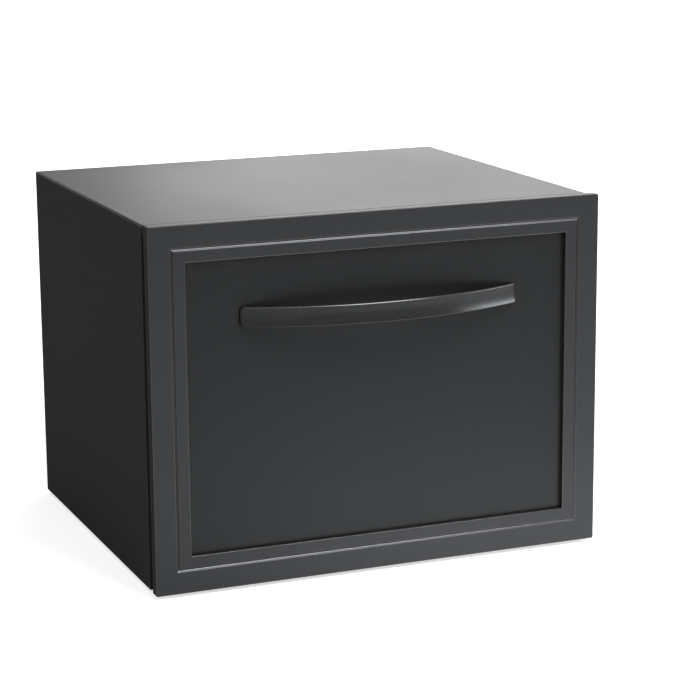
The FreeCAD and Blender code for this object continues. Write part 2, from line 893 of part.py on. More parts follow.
def make_ball_cage(side, which):
    """A thin cage strip with its two rows of balls between two slide members."""
    web, ball, rise = (
        (cage_out, outer_ball, outer_ball_rise) if which == "outer" else
        (cage_in, inner_ball, inner_ball_rise)
    )
    half = S.cage_gauge / 2
    far = ball + S.ball_radius + S.ball_gap / 2
    inside = rise - half
    tall = rise + half
    points = [(web, -tall), (far, -tall), (far, -inside), (web + S.cage_gauge, -inside),
              (web + S.cage_gauge, inside), (far, inside), (far, tall), (web, tall)]
    middle = slide_front + slide_length / 2
    strip_name = f"cage_strip_{which}_{slide_side(side)}"
    strip = document.addObject("PartDesign::Body", strip_name)
    add(strip, "y", middle - S.cage_length / 2, S.cage_length, [slide_section(side, points)])
    across = side * (cavity_half - ball)
    deeps = [middle + S.cage_pitch * step for step in (-2, -1, 0, 1, 2)]
    carve(strip, "z", slide_z - tall - S.overrun, (tall + S.overrun) * 2, [],
          [((across, deep), S.ball_radius + S.ball_gap) for deep in deeps])
    balls = []
    for deep in deeps:
        for way in (-1, 1):
            ball_item = document.addObject("Part::Sphere", "ball")
            bind(ball_item, "Radius", S.ball_radius)
            place(ball_item, (across, deep, slide_z + way * rise))
            balls.append(ball_item)
    keep(f"ball_cage_{which}_{slide_side(side)}", group([strip] + balls))


def make_slide_screws():
    screws = []
    for side in (-1, 1):
        for deep in slide_screw_rows():
            seat = (side * (cavity_half - S.slide_gauge), deep, slide_z)
            screws.append(screw(seat, "x" if side > 0 else "-x", S.slide_screw_radius,
                                S.slide_gauge + S.liner_gauge + S.slide_screw_bite,
                                S.slide_screw_head, S.slide_screw_head_thick))
    keep("slide_screws", group(screws))


# Cold side

def make_cold_block():
    """Aluminium block that carries the heat through the insulation, with blind clamp holes."""
    block = body("cold_block")
    half = S.block_width / 2
    add(block, "y", cavity_back, block_back - cavity_back, [centred(half, cool_z - half, cool_z + half)])
    holes = [((side * clamp_x(), cool_z), S.clamp_screw_radius) for side in (-1, 1)]
    carve(block, "y", block_back - S.clamp_screw_bite - S.overrun,
          S.clamp_screw_bite + S.overrun * 2, [], holes)


def clamp_x():
    return S.hot_fan_pitch / 10 * 3


def make_peltier_module():
    module = body("peltier_module")
    half = S.module_width / 2
    add(module, "y", block_back, S.module_thick, [centred(half, cool_z - half, cool_z + half)])


def fin_row(sink, start, length, width, pitch, thick, count):
    """Upright fins in a row that is centred on the sink."""
    first = -1 * pitch * (count - 1) / 2
    half = width / 2
    fin = add(sink, "y", start, length,
              [rectangle((first - thick / 2, cool_z - half), (first + thick / 2, cool_z + half))])
    repeat(sink, fin, "x", pitch, count)


def make_cold_sink():
    sink = body("cold_sink")
    half = S.cold_sink_width / 2
    add(sink, "y", cavity_back - S.cold_sink_base, S.cold_sink_base,
        [centred(half, cool_z - half, cool_z + half)])
    fin_row(sink, fin_front, S.cold_fin_length, S.cold_sink_width, S.cold_fan_pitch / 10,
            S.cold_fin_thick, S.cold_fin_count)


def make_hot_sink():
    sink = body("hot_sink")
    half = S.hot_sink_width / 2
    holes = [((side * clamp_x(), cool_z), S.clamp_screw_radius) for side in (-1, 1)]
    add(sink, "y", panel_back, S.hot_sink_base, [centred(half, cool_z - half, cool_z + half)], holes)
    fin_row(sink, hot_base_back, S.hot_fin_length, S.hot_sink_width, S.hot_fan_pitch / 10,
            S.hot_fin_thick, S.hot_fin_count)


def make_clamp_screws():
    length = S.hot_sink_base + S.module_thick + S.clamp_screw_bite
    keep("clamp_screws", group([
        screw((side * clamp_x(), hot_base_back, cool_z), "-y", S.clamp_screw_radius, length,
              S.clamp_screw_head, S.clamp_screw_head)
        for side in (-1, 1)
    ]))


def fan_bore(size):
    return size / 2 - S.fan_rim


def make_fan_frame(label, front, size, thick, pitch):
    """A square fan frame whose motor hub stands on four struts at its rear face."""
    frame = body(label)
    half = size / 2
    holes = [((x * pitch / 2, cool_z + z * pitch / 2), S.fan_screw_radius)
             for x in (-1, 1) for z in (-1, 1)]
    centre = (0, cool_z)
    add(frame, "y", front, thick, [centred(half, cool_z - half, cool_z + half)],
        holes + [(centre, fan_bore(size))])
    fillet(frame, S.fan_corner, "y", lambda spot: near(abs(spot.x), half))
    rear = front + thick - S.fan_hub_wall
    strut = S.fan_strut / 2
    reach = fan_bore(size) + S.fan_rim / 2
    add(frame, "y", rear, S.fan_hub_wall, [centred(reach, cool_z - strut, cool_z + strut)])
    add(frame, "y", rear, S.fan_hub_wall, [centred(strut, cool_z - reach, cool_z + reach)])
    add(frame, "y", rear, S.fan_hub_wall, [], [(centre, S.fan_hub)])
    add(frame, "y", rear - S.fan_hub_wall, S.fan_hub_wall, [], [(centre, S.fan_bearing)])
    carve(frame, "y", rear - S.fan_hub_wall - S.overrun, (S.fan_hub_wall + S.overrun) * 2, [],
          [(centre, S.fan_shaft + S.shaft_gap)])


blade_lean_shares = (0.55, 0.8)
fan_head_share = 0.7


def make_fan_rotor(label, front, size, thick):
    """Hub cup, twisted blades and shaft, turning about Y through the fan's centre."""
    rotor = body(label)
    place(rotor, (0, front, cool_z))
    centre = (0, 0)
    hub_back = thick - S.fan_hub_wall - S.run_gap
    add(rotor, "y", S.run_gap, hub_back - S.run_gap, [], [(centre, S.fan_hub)])
    carve(rotor, "y", S.run_gap + S.fan_hub_wall, thick, [], [(centre, S.fan_hub - S.fan_hub_wall)])
    add(rotor, "y", S.run_gap, thick - S.run_gap - S.fan_hub_wall / 2, [], [(centre, S.fan_shaft)])
    tip = fan_bore(size) - S.fan_tip_gap
    span = hub_back - S.run_gap * 2
    root_lean, tip_lean = (span * share for share in blade_lean_shares)
    blade = rotor.newObject("PartDesign::AdditiveLoft", "blade")
    sections = []
    for level, lean in ((S.fan_hub - S.fan_hub_wall / 2, root_lean), (tip, tip_lean)):
        start = S.run_gap * 2
        wide = S.fan_blade_thick
        half = lean / 2
        outline = [(start, -half), (start, -half + wide), (start + span, half + wide),
                   (start + span, half)]
        sections.append(draft(rotor, "x", level, [outline]))
    blade.Profile = sections[0]
    blade.Sections = sections[1:]
    blade.Ruled = True
    repeat_round(rotor, blade, "y", S.fan_blade_count)


def make_fan_screws():
    """Four screws through each fan frame whose tips bite between the fins."""
    screws = []
    fans = (
        (cold_fan_front, "y", S.cold_fan_thick, S.cold_fan_pitch),
        (hot_fan_back, "-y", S.hot_fan_thick, S.hot_fan_pitch),
    )
    for level, way, thick, pitch in fans:
        for x in (-1, 1):
            for z in (-1, 1):
                seat = (x * pitch / 2, level, cool_z + z * pitch / 2)
                screws.append(screw(seat, way, S.fan_screw_radius, thick + S.fan_screw_bite,
                                    S.fan_screw_head, S.fan_screw_head * fan_head_share))
    keep("fan_screws", group(screws))


def make_cold_fan_cover():
    """The white grille box over the cold fan and sink, open to the rear."""
    cover = body("cold_fan_cover")
    half = S.cover_width / 2
    tall = S.cover_height / 2
    wall = S.cover_wall
    add(cover, "y", cold_cover_front, cavity_back - cold_cover_front,
        [centred(half, cool_z - tall, cool_z + tall)])
    carve(cover, "y", cold_cover_front + wall, cavity_back - cold_cover_front,
          [centred(half - wall, cool_z - tall + wall, cool_z + tall - wall)])
    width = S.cold_fan_size / 2 - S.cover_wall
    low = cool_z - S.grille_pitch * (S.grille_count - 1) / 2 - S.grille_slot / 2
    slot = carve(cover, "y", cold_cover_front - S.overrun, wall + S.overrun * 2,
                 [centred(width, low, low + S.grille_slot)])
    repeat(cover, slot, "z", S.grille_pitch, S.grille_count)
    outlet = (fin_front + wall, cavity_back - S.cold_sink_base - wall)
    carve(cover, "z", cool_z - tall - S.overrun, (tall + S.overrun) * 2,
          [rectangle((-width, outlet[0]), (width, outlet[1]))])


# Control housing under the cavity roof

housing_front = collar_y + S.housing_front_gap
housing_low = cavity_high - S.housing_height
housing_middle = housing_front + S.housing_depth / 2


def make_control_housing():
    """The box on the cavity roof that holds the light and the thermostat."""
    housing = body("control_housing")
    half = S.housing_width / 2
    wall = S.housing_wall
    back = housing_front + S.housing_depth
    lens = lens_outline(0)
    knob = [((S.knob_offset, housing_middle), S.knob_shaft_radius + S.run_gap)]
    add(housing, "z", housing_low, wall, [rectangle((-half, housing_front), (half, back)), lens], knob)
    inner = rectangle((-half + wall, housing_front + wall), (half - wall, back - wall))
    add(housing, "z", housing_low + wall, S.housing_height - wall,
        [rectangle((-half, housing_front), (half, back)), inner])


def lens_outline(shrink):
    half = S.lens_width / 2 - shrink
    deep = S.lens_depth / 2 - shrink
    return rectangle((-S.lens_offset - half, housing_middle - deep),
                     (-S.lens_offset + half, housing_middle + deep))


def make_light_lens():
    lens = body("light_lens")
    add(lens, "z", housing_low, S.housing_wall, [lens_outline(S.seat_gap)])
    add(lens, "z", housing_low + S.housing_wall, S.lens_rim, [lens_outline(-S.lens_rim)])


def make_light_board():
    """A lamp board above the lens, on posts from the cavity roof."""
    level = cavity_high - S.housing_height / 2
    half = S.lens_width / 2
    deep = S.lens_depth / 2
    low = (-S.lens_offset - half, housing_middle - deep, level)
    high = (-S.lens_offset + half, housing_middle + deep, level + S.board_gauge)
    pieces = [box(low, high)]
    post = S.standoff_radius
    for side in (-1, 1):
        seat = (-S.lens_offset + side * (half - post), housing_middle, level + S.board_gauge)
        pieces.append(cylinder(seat, "z", post, cavity_high - level - S.board_gauge))
    lamp = S.lamp_size / 2
    for step in (-1, 0, 1):
        middle = (-S.lens_offset + S.lamp_pitch * step, housing_middle, level)
        low = tuple(size - lamp for size in middle[:2]) + (level - lamp / 2,)
        pieces.append(box(low, tuple(size + lamp for size in middle[:2]) + (level,)))
    keep("light_board", fuse(pieces))


def make_thermostat_body():
    """The switch block on the cavity roof that the knob's shaft turns in."""
    half = S.pot_width / 2
    low = (S.knob_offset - half, housing_middle - half, cavity_high - S.pot_height)
    high = (S.knob_offset + half, housing_middle + half, cavity_high)
    start = (S.knob_offset, housing_middle, cavity_high - S.pot_height - S.overrun)
    bore = cylinder(start, "z", S.knob_shaft_radius + S.shaft_gap, S.pot_bore + S.overrun)
    keep("thermostat_body", cut(box(low, high), [bore]))


def make_thermostat_knob():
    """A fluted knob under the housing; its shaft runs up into the thermostat."""
    knob = body("thermostat_knob")
    place(knob, (S.knob_offset, housing_middle, housing_low - S.knob_gap - S.knob_height))
    centre = (0, 0)
    add(knob, "z", 0, S.knob_height, [], [(centre, S.knob_radius)])
    shaft = S.knob_gap + S.housing_height - S.pot_height + S.pot_bore - S.run_gap
    add(knob, "z", S.knob_height, shaft, [], [(centre, S.knob_shaft_radius)])
    across = S.knob_radius + S.knob_grip_radius - S.knob_flute_depth
    flute = carve(knob, "z", -S.overrun, S.knob_flute_height + S.overrun, [],
                  [((across, 0), S.knob_grip_radius)])
    repeat_round(knob, flute, "z", S.knob_grip_count)
    half = S.knob_mark_width / 2
    far = S.knob_radius - S.knob_grip_radius
    carve(knob, "z", -S.overrun, S.overrun + S.knob_mark_depth,
          [rectangle((-half, far - S.knob_mark_length), (half, far))])


def make_temperature_sensor():
    """A capsule in a clip on the cavity's rear wall beside the grille."""
    x = S.cover_width / 2 + S.sensor_radius * 4
    clip = S.sensor_radius * 1.5
    block = box((x - clip, cavity_back - clip, cool_z - clip), (x + clip, cavity_back, cool_z + clip))
    start = (x, cavity_back - clip, cool_z - S.sensor_length / 2)
    keep("temperature_sensor", fuse([block, cylinder(start, "z", S.sensor_radius, S.sensor_length)]))


def switch_block(gap):
    """The door switch's block behind the front return, grown by a gap on every side."""
    half = S.switch_length / 2 + gap
    thick = S.switch_width + gap
    high = cabinet_top - S.front_return / 2
    wide = S.switch_width / 2 + gap
    return box((S.switch_offset - half, liner_flange_back, high - wide),
               (S.switch_offset + half, liner_flange_back + thick, high + wide))


def make_reed_switch():
    keep("reed_switch", switch_block(0))


# Electrics behind the rear panel

def standoff_spots(level):
    across = S.board_width / 2 - S.board_hole_inset
    tall = S.board_height / 2 - S.board_hole_inset
    return [(board_x + x * across, level, board_z + z * tall) for x in (-1, 1) for z in (-1, 1)]


board_front = panel_back + S.standoff_length
board_back = board_front + S.board_gauge


def make_board_standoffs():
    """Posts that snap into the rear panel and the control board."""
    reach = S.shell_gauge + S.standoff_length + S.board_gauge
    keep("board_standoffs", group([
        fuse([cylinder(spot, "y", S.standoff_radius, S.standoff_length),
              cylinder(shifted(spot, "-y", S.shell_gauge), "y", S.standoff_stem, reach)])
        for spot in standoff_spots(panel_back)
    ]))


def make_control_board():
    board = body("control_board")
    half = S.board_width / 2
    tall = S.board_height / 2
    holes = [((x, z), S.standoff_stem) for x, y, z in standoff_spots(board_front)]
    outline = rectangle((board_x - half, board_z - tall), (board_x + half, board_z + tall))
    add(board, "y", board_front, S.board_gauge, [outline], holes)


def make_board_components():
    """Capacitors, a relay, a heat spreader and plug sockets on the control board."""
    def spot(across_share, up_share):
        return board_x + S.board_width * across_share, board_z + S.board_height * up_share

    pieces = []
    capacitor_shares = ((-0.3, 0.26, 0.07, 0.3), (-0.08, 0.26, 0.07, 0.3), (0.14, 0.28, 0.05, 0.2))
    for across, up, radius, length in capacitor_shares:
        x, z = spot(across, up)
        pieces.append(cylinder((x, board_back, z), "y", S.board_width * radius, S.board_width * length))
    block_shares = ((-0.28, 0, 0.2, 0.16, 0.2), (0.12, 0, 0.14, 0.2, 0.16), (-0.26, -0.26, 0.24, 0.08, 0.12),
                    (0.1, -0.26, 0.24, 0.08, 0.12), (0.3, 0.28, 0.08, 0.16, 0.26))
    for across, up, wide, tall, length in block_shares:
        x, z = spot(across, up)
        half = S.board_width * wide / 2
        rise = S.board_height * tall / 2
        pieces.append(box((x - half, board_back, z - rise),
                          (x + half, board_back + S.board_width * length, z + rise)))
    keep("board_components", group(pieces))


supply_front = panel_back
supply_low = base_z + S.shell_gauge


def make_power_supply_case():
    """A sheet cover over the power supply, closed by the rear panel and the base pan."""
    case = body("power_supply_case")
    half = S.supply_width / 2
    gauge = S.shell_gauge
    top = supply_low + S.supply_height
    add(case, "y", supply_front, S.supply_depth,
        [rectangle((supply_x - half, supply_low), (supply_x + half, top))])
    carve(case, "y", supply_front - S.overrun, S.supply_depth - gauge + S.overrun,
          [rectangle((supply_x - half + gauge, supply_low + gauge), (supply_x + half - gauge, top - gauge))])
    slot = S.supply_slot
    first = supply_x - S.supply_slot_pitch * (S.supply_slot_count - 1) / 2 - slot / 2
    low = supply_low + (S.supply_height - S.supply_slot_height) / 2
    vent = carve(case, "y", supply_front + S.supply_depth - gauge - S.overrun, gauge + S.overrun * 2,
                 [rectangle((first, low), (first + slot, low + S.supply_slot_height))])
    repeat(case, vent, "x", S.supply_slot_pitch, S.supply_slot_count)


def make_power_supply_board():
    """The supply's board with its transformer, choke and capacitors, standing in the case."""
    half = S.supply_width / 2 - S.supply_gap
    level = supply_low + S.shell_gauge
    deep = supply_front + S.supply_gap
    back = supply_front + S.supply_depth - S.supply_gap
    low = (supply_x - half, deep, level)
    board = box(low, (supply_x + half, back, level + S.board_gauge))
    top = level + S.board_gauge
    middle = (deep + back) / 2
    tall = S.transformer_size
    wide = S.transformer_size / 2
    transformer = box((supply_x - wide, middle - wide, top), (supply_x + wide, middle + wide, top + tall))
    pieces = [board, transformer]
    for side in (-1, 1):
        seat = (supply_x + side * S.supply_can_offset, middle, top)
        pieces.append(cylinder(seat, "z", S.supply_can_radius, S.supply_can_height))
    keep("power_supply_board", fuse(pieces))


def make_mains_inlet():
    """The socket block in the rear cover, with a flange inside and an open recess outside."""
    inlet = body("mains_inlet")
    half = S.inlet_width / 2
    tall = S.inlet_height / 2
    flange = S.inlet_flange
    gap = S.seat_gap
    front = cover_back - S.inlet_depth
    add(inlet, "y", front, S.inlet_depth,
        [rectangle((inlet_x - half + gap, inlet_z - tall + gap), (inlet_x + half - gap, inlet_z + tall - gap))])
    add(inlet, "y", cover_y - S.inlet_flange_thick, S.inlet_flange_thick,
        [rectangle((inlet_x - half - flange / 2, inlet_z - tall - flange / 2),
                   (inlet_x + half + flange / 2, inlet_z + tall + flange / 2))])
    wall = S.inlet_wall
    carve(inlet, "y", cover_back - S.inlet_recess, S.inlet_recess + S.overrun,
          [rectangle((inlet_x - half + wall, inlet_z - tall + wall),
                     (inlet_x + half - wall, inlet_z + tall - wall))])
    carve(inlet, "y", front - S.overrun, S.inlet_depth + S.overrun * 2,
          [pin_outline(spot) for spot in pin_spots()])


def pin_spots():
    rise = S.pin_rise
    return ((inlet_x - S.pin_spacing, inlet_z - rise), (inlet_x, inlet_z + rise),
            (inlet_x + S.pin_spacing, inlet_z - rise))


def pin_outline(spot):
    x, z = spot
    return rectangle((x - S.pin_thin / 2, z - S.pin_wide / 2), (x + S.pin_thin / 2, z + S.pin_wide / 2))


def make_inlet_pins():
    front = cover_back - S.inlet_depth - S.pin_tail
    tip = cover_back - S.inlet_recess + S.pin_length
    pins = []
    for x, z in pin_spots():
        wide, tall = S.pin_thin / 2, S.pin_wide / 2
        pins.append(box((x - wide, front, z - tall), (x + wide, tip, z + tall)))
    keep("inlet_pins", group(pins))


# Condensate

def make_drain_tube():
    start = (0, cavity_back, drain_z)
    length = S.liner_gauge + S.rear_foam + S.shell_gauge + S.drain_tail
    tube = cylinder(start, "y", S.drain_radius, length)
    bore = cylinder(shifted(start, "-y", S.overrun), "y", S.drain_bore, length + S.overrun * 2)
    keep("drain_tube", cut(tube, [bore]))


def make_drip_tray():
    """The open tray that catches the drain's water, beside the power supply."""
    tray = body("drip_tray")
    left = supply_x + S.supply_width / 2 + S.tray_side_gap
    right = left + S.tray_width
    front = panel_back + S.tray_wall
    back = return_y - S.tray_wall * 2
    wall = S.tray_wall
    add(tray, "z", tray_low, S.tray_height, [rectangle((left, front), (right, back))])
    carve(tray, "z", tray_low + wall, S.tray_height,
          [rectangle((left + wall, front + wall), (right - wall, back - wall))])


# Drawer front

def ring(margin, inner_margin):
    """Outer and inner outline of a frame round the drawer front, given their distance from its edge."""
    return [
        centred(front_half - edge, base_z + edge, front_top - edge) for edge in (margin, inner_margin)
    ]


def make_front_frame():
    """The moulded outer frame: a front web, an outer wall and an inner rib."""
    frame = body("front_frame")
    wall = S.frame_wall
    margin = S.frame_margin
    add(frame, "y", front_y, wall, ring(0, margin))
    add(frame, "y", front_y + wall, S.frame_thick - wall, ring(0, wall))
    rib = panel_rear - front_y - wall
    add(frame, "y", front_y + wall, rib, ring(margin - wall, margin))
    fillet(frame, S.frame_corner, "y", lambda spot: near(abs(spot.x), front_half))
    soften(frame, S.frame_edge, front_edges(frame, 0))
    bevel(frame, S.groove_chamfer, front_edges(frame, margin))


def front_edges(owner, margin):
    """Edges of the front face that lie at one distance from the drawer front's outline."""
    low, high = base_z + margin, front_top - margin
    across = edge_names(owner, "x", lambda spot: near(spot.y, front_y) and near(spot.z, low, high))
    side = front_half - margin
    up = edge_names(owner, "z", lambda spot: near(spot.y, front_y) and near(abs(spot.x), side))
    return across + up


def make_front_bezel():
    """The inner ring that holds the panel, bevelled to form the groove."""
    bezel = body("front_bezel")
    start = S.frame_margin + S.seat_gap
    add(bezel, "y", front_y, S.bezel_thick, ring(start, S.frame_margin + S.bezel_width))
    bevel(bezel, S.groove_chamfer, front_edges(bezel, start))
    bevel(bezel, S.bezel_edge, front_edges(bezel, S.frame_margin + S.bezel_width))


def handle_screw_spots(level):
    across = S.handle_span / 2 - S.handle_post_inset
    height = front_top - S.handle_centre_drop
    return [(side * across, level, height) for side in (-1, 1)]


def make_decor_panel():
    panel = body("decor_panel")
    edge = S.frame_margin + S.seat_gap
    holes = [((x, z), S.handle_screw_radius) for x, y, z in handle_screw_spots(panel_face)]
    add(panel, "y", panel_face, S.panel_thick,
        [centred(front_half - edge, base_z + edge, front_top - edge)], holes)


def make_handle():
    """The bowed grip: part of an upright ring with a scooped face, on two posts."""
    height = front_top - S.handle_centre_drop
    half = S.handle_span / 2
    tall = S.handle_height / 2
    rise = panel_face - (front_y - S.handle_reach) - S.handle_thick
    inner = (half * half + rise * rise) / (rise * 2)
    outer = inner + S.handle_thick
    centre_y = front_y - S.handle_reach + outer
    low = (0, centre_y, height - tall)
    band = cut(cylinder(low, "z", outer, S.handle_height),
               [cylinder(shifted(low, "-z", S.overrun), "z", inner, S.handle_height + S.overrun * 2)])
    corner = S.handle_corner
    front = front_y - S.handle_reach - S.overrun
    blocks = [
        box((-half, front, height - tall + corner), (half, panel_face, height + tall - corner)),
        box((-half + corner, front, height - tall), (half - corner, panel_face, height + tall)),
    ]
    for x in (-1, 1):
        for z in (-1, 1):
            seat = (x * (half - corner), front, height + z * (tall - corner))
            blocks.append(cylinder(seat, "y", corner, panel_face - front))
    grip = common(band, fuse(blocks))
    chord = S.scoop_height / 2
    scoop_radius = (chord * chord + S.scoop_depth * S.scoop_depth) / (S.scoop_depth * 2)
    scoop = document.addObject("Part::Torus", "scoop")
    place(scoop, (0, centre_y, height))
    bind(scoop, "Radius1", outer - S.scoop_depth + scoop_radius)
    bind(scoop, "Radius2", scoop_radius)
    posts = [cylinder(spot, "-y", S.handle_post_radius, S.handle_post_inset / 2)
             for spot in handle_screw_spots(panel_face)]
    holes = [cylinder(shifted(spot, "y", S.overrun), "-y", S.handle_screw_radius,
                      S.handle_screw_bite + S.overrun) for spot in handle_screw_spots(panel_face)]
    keep("handle", cut(fuse([cut(grip, [scoop])] + posts), holes))


def make_handle_screws():
    keep("handle_screws", group([
        screw(spot, "-y", S.handle_screw_radius, S.panel_thick + S.handle_screw_bite,
              S.handle_screw_radius * 2, S.handle_screw_radius)
        for spot in handle_screw_spots(panel_rear)
    ]))


def make_front_insulation():
    """Foam inside the drawer front and its plug."""
    edge = S.frame_wall + S.foam_gap
    slab = box((-front_half + edge, panel_rear, base_z + edge),
               (front_half - edge, front_liner_y, front_top - edge))
    gauge = S.front_liner_gauge
    plug = box((-plug_half + gauge, front_liner_y - S.overrun, plug_low + gauge),
               (plug_half - gauge, plug_back - gauge, plug_high - gauge))
    tools = [cylinder(shifted(spot, "-y", S.overrun), "y", S.handle_screw_radius * 2 + S.foam_gap,
                      S.handle_screw_radius + S.foam_gap + S.overrun)
             for spot in handle_screw_spots(panel_rear)]
    for spot in front_screw_spots(plug_back):
        tools.append(cylinder(spot, "-y", S.bin_screw_radius + S.foam_gap, S.plug_reach + S.overrun))
    keep("front_insulation", cut(fuse([slab, plug]), tools))


def make_front_liner():
    """The moulded inner skin of the drawer front: a flange and a shallow plug."""
    liner = body("front_liner")
    edge = S.frame_wall + S.seat_gap
    gauge = S.front_liner_gauge
    add(liner, "y", front_liner_y, gauge, [centred(front_half - edge, base_z + edge, front_top - edge)])
    add(liner, "y", frame_back, S.plug_reach, [centred(plug_half, plug_low, plug_high)])
    carve(liner, "y", front_liner_y - S.overrun, S.plug_reach + S.overrun,
          [centred(plug_half - gauge, plug_low + gauge, plug_high - gauge)])
    carve(liner, "y", plug_back - gauge - S.overrun, gauge + S.overrun * 2, [],
          [((x, z), S.bin_screw_radius) for x, y, z in front_screw_spots(plug_back)])


def make_gasket():
    """The soft seal behind the drawer front, with a channel for its magnet strips."""
    seal = body("gasket")
    outer = S.gasket_inset
    inner = outer + S.gasket_width
    add(seal, "y", frame_back, S.gasket_thick, ring(outer, inner))
    start = outer + (S.gasket_width - S.magnet_width) / 2
    carve(seal, "y", frame_back - S.overrun, S.magnet_thick + S.overrun,
          ring(start, start + S.magnet_width))


def make_gasket_magnets():
    """Four magnet strips that fill the gasket's channel."""
    start = S.gasket_inset + (S.gasket_width - S.magnet_width) / 2
    end = start + S.magnet_width
    back = frame_back + S.magnet_thick
    strips = []
    for low, high in ((base_z + start, base_z + end), (front_top - end, front_top - start)):
        strips.append(box((-front_half + start, frame_back, low), (front_half - start, back, high)))
    for side in (-1, 1):
        edges = sorted((side * (front_half - start), side * (front_half - end)), key=value_of)
        strips.append(box((edges[0], frame_back, base_z + end), (edges[1], back, front_top - end)))
    keep("gasket_magnets", group(strips))


# Drawer bin

def bin_screw_rows():
    row_shares = (0.12, 0.45, 0.78)
    return [slide_front + slide_length * share for share in row_shares]


def front_screw_spots(level):
    across = bin_half - S.front_screw_side_inset
    tall = S.bin_height / 2 - S.front_screw_end_inset
    middle = bin_low + S.bin_height / 2
    return [(side * across, level, middle + end * tall) for side in (-1, 1) for end in (-1, 1)]


def make_drawer_bin():
    """The moulded bin, open at the top, with a rim along its sides and rear."""
    tub = body("drawer_bin")
    wall = S.bin_wall
    add(tub, "z", bin_low, S.bin_height, [rectangle((-bin_half, plug_back), (bin_half, bin_back))])
    carve(tub, "z", bin_low + wall, S.bin_height,
          [rectangle((-bin_half + wall, plug_back + wall), (bin_half - wall, bin_back - wall))])
    fillet(tub, S.bin_corner - wall, "z", lambda spot: near(abs(spot.x), bin_half - wall))
    fillet(tub, S.bin_corner, "z", lambda spot: near(abs(spot.x), bin_half))
    rim = S.bin_rim
    inner_half = bin_half - wall / 2
    start = plug_back + S.bin_corner
    add(tub, "z", bin_high - wall, wall,
        [[(-bin_half - rim, start), (-inner_half, start), (-inner_half, bin_back - S.bin_corner),
          (-bin_half + S.bin_corner, bin_back - wall / 2), (bin_half - S.bin_corner, bin_back - wall / 2),
          (inner_half, bin_back - S.bin_corner), (inner_half, start), (bin_half + rim, start),
          (bin_half + rim, bin_back + rim), (-bin_half - rim, bin_back + rim)]])
    rows = [((deep, slide_z), S.bin_screw_radius) for deep in bin_screw_rows()]
    for start in (-bin_half - S.overrun, bin_half - wall - S.overrun):
        carve(tub, "x", start, wall + S.overrun * 2, [], rows)
    carve(tub, "y", plug_back - S.overrun, wall + S.overrun * 2, [],
          [((x, z), S.bin_screw_radius) for x, y, z in front_screw_spots(plug_back)])


def make_divider(label, side):
    """A plate across the bin that hangs by its ears on the rims and slides sideways."""
    plate = body(label)
    gap = S.divider_gap
    middle = side * S.divider_offset
    half = S.divider_thick / 2
    front = plug_back + S.bin_wall + gap
    back = bin_back - S.bin_wall - gap
    low = bin_low + S.bin_wall + gap
    ear_low = bin_high + gap / 2
    add(plate, "z", low, ear_low - low, [rectangle((middle - half, front), (middle + half, back))])
    ear = S.divider_ear / 2
    add(plate, "z", ear_low, S.divider_ear_height,
        [rectangle((middle - ear, plug_back + gap), (middle + ear, bin_back + S.bin_rim - gap))])


def make_bin_screws():
    """Screws from inside the bin into the slides' drawer members and the drawer front."""
    screws = []
    for side in (-1, 1):
        for deep in bin_screw_rows():
            seat = (side * (bin_half - S.bin_wall), deep, slide_z)
            screws.append(screw(seat, "x" if side > 0 else "-x", S.bin_screw_radius,
                                S.bin_wall + S.slide_gauge * 2, S.bin_screw_head,
                                S.bin_screw_head_thick))
    for spot in front_screw_spots(plug_back + S.bin_wall):
        screws.append(screw(spot, "-y", S.bin_screw_radius, S.bin_wall + S.plug_reach,
                            S.bin_screw_head, S.bin_screw_head_thick))
    keep("bin_screws", group(screws))


def build_all():
    make_cabinet_shell()
    make_base_pan()
    make_rear_panel()
    make_rear_cover()
    make_rear_cover_screws()
    make_insulation()
    make_inner_liner()
    make_feet()
    make_fixing_nuts()
    for side in (-1, 1):
        make_slide_outer(side)
        make_slide_middle(side)
        make_slide_inner(side)
        make_ball_cage(side, "outer")
        make_ball_cage(side, "inner")
    make_slide_screws()
    make_cold_block()
    make_peltier_module()
    make_cold_sink()
    make_hot_sink()
    make_clamp_screws()
    make_fan_frame("cold_fan_frame", cold_fan_front, S.cold_fan_size, S.cold_fan_thick, S.cold_fan_pitch)
    make_fan_rotor("cold_fan_rotor", cold_fan_front, S.cold_fan_size, S.cold_fan_thick)
    make_fan_frame("hot_fan_frame", hot_fin_back, S.hot_fan_size, S.hot_fan_thick, S.hot_fan_pitch)
    make_fan_rotor("hot_fan_rotor", hot_fin_back, S.hot_fan_size, S.hot_fan_thick)
    make_fan_screws()
    make_cold_fan_cover()
    make_control_housing()
    make_light_lens()
    make_light_board()
    make_thermostat_body()
    make_thermostat_knob()
    make_temperature_sensor()
    make_reed_switch()
    make_board_standoffs()
    make_control_board()
    make_board_components()
    make_power_supply_case()
    make_power_supply_board()
    make_mains_inlet()
    make_inlet_pins()
    make_drain_tube()
    make_drip_tray()
    make_front_frame()
    make_front_bezel()
    make_decor_panel()
    make_handle()
    make_handle_screws()
    make_front_insulation()
    make_front_liner()
    make_gasket()
    make_gasket_magnets()
    make_drawer_bin()
    make_divider("divider_left", -1)
    make_divider("divider_right", 1)
    make_bin_screws()


def check_all():
    """Stop before anything is written if a feature failed or a hollow removed nothing."""
    for item in document.Objects:
        if "Invalid" in item.State or "Error" in item.State:
            raise RuntimeError(f"{item.Name} of {item.TypeId} failed: {item.State}")
        if item.TypeId == "PartDesign::Pocket" and item.Shape.Volume >= item.BaseFeature.Shape.Volume:
            raise RuntimeError(f"{item.Name} removed nothing")
    for label, item in nodes.items():
        if item.Shape.isNull() or not item.Shape.isValid() or not item.Shape.Solids:
            raise RuntimeError(f"{label} has no valid solid")


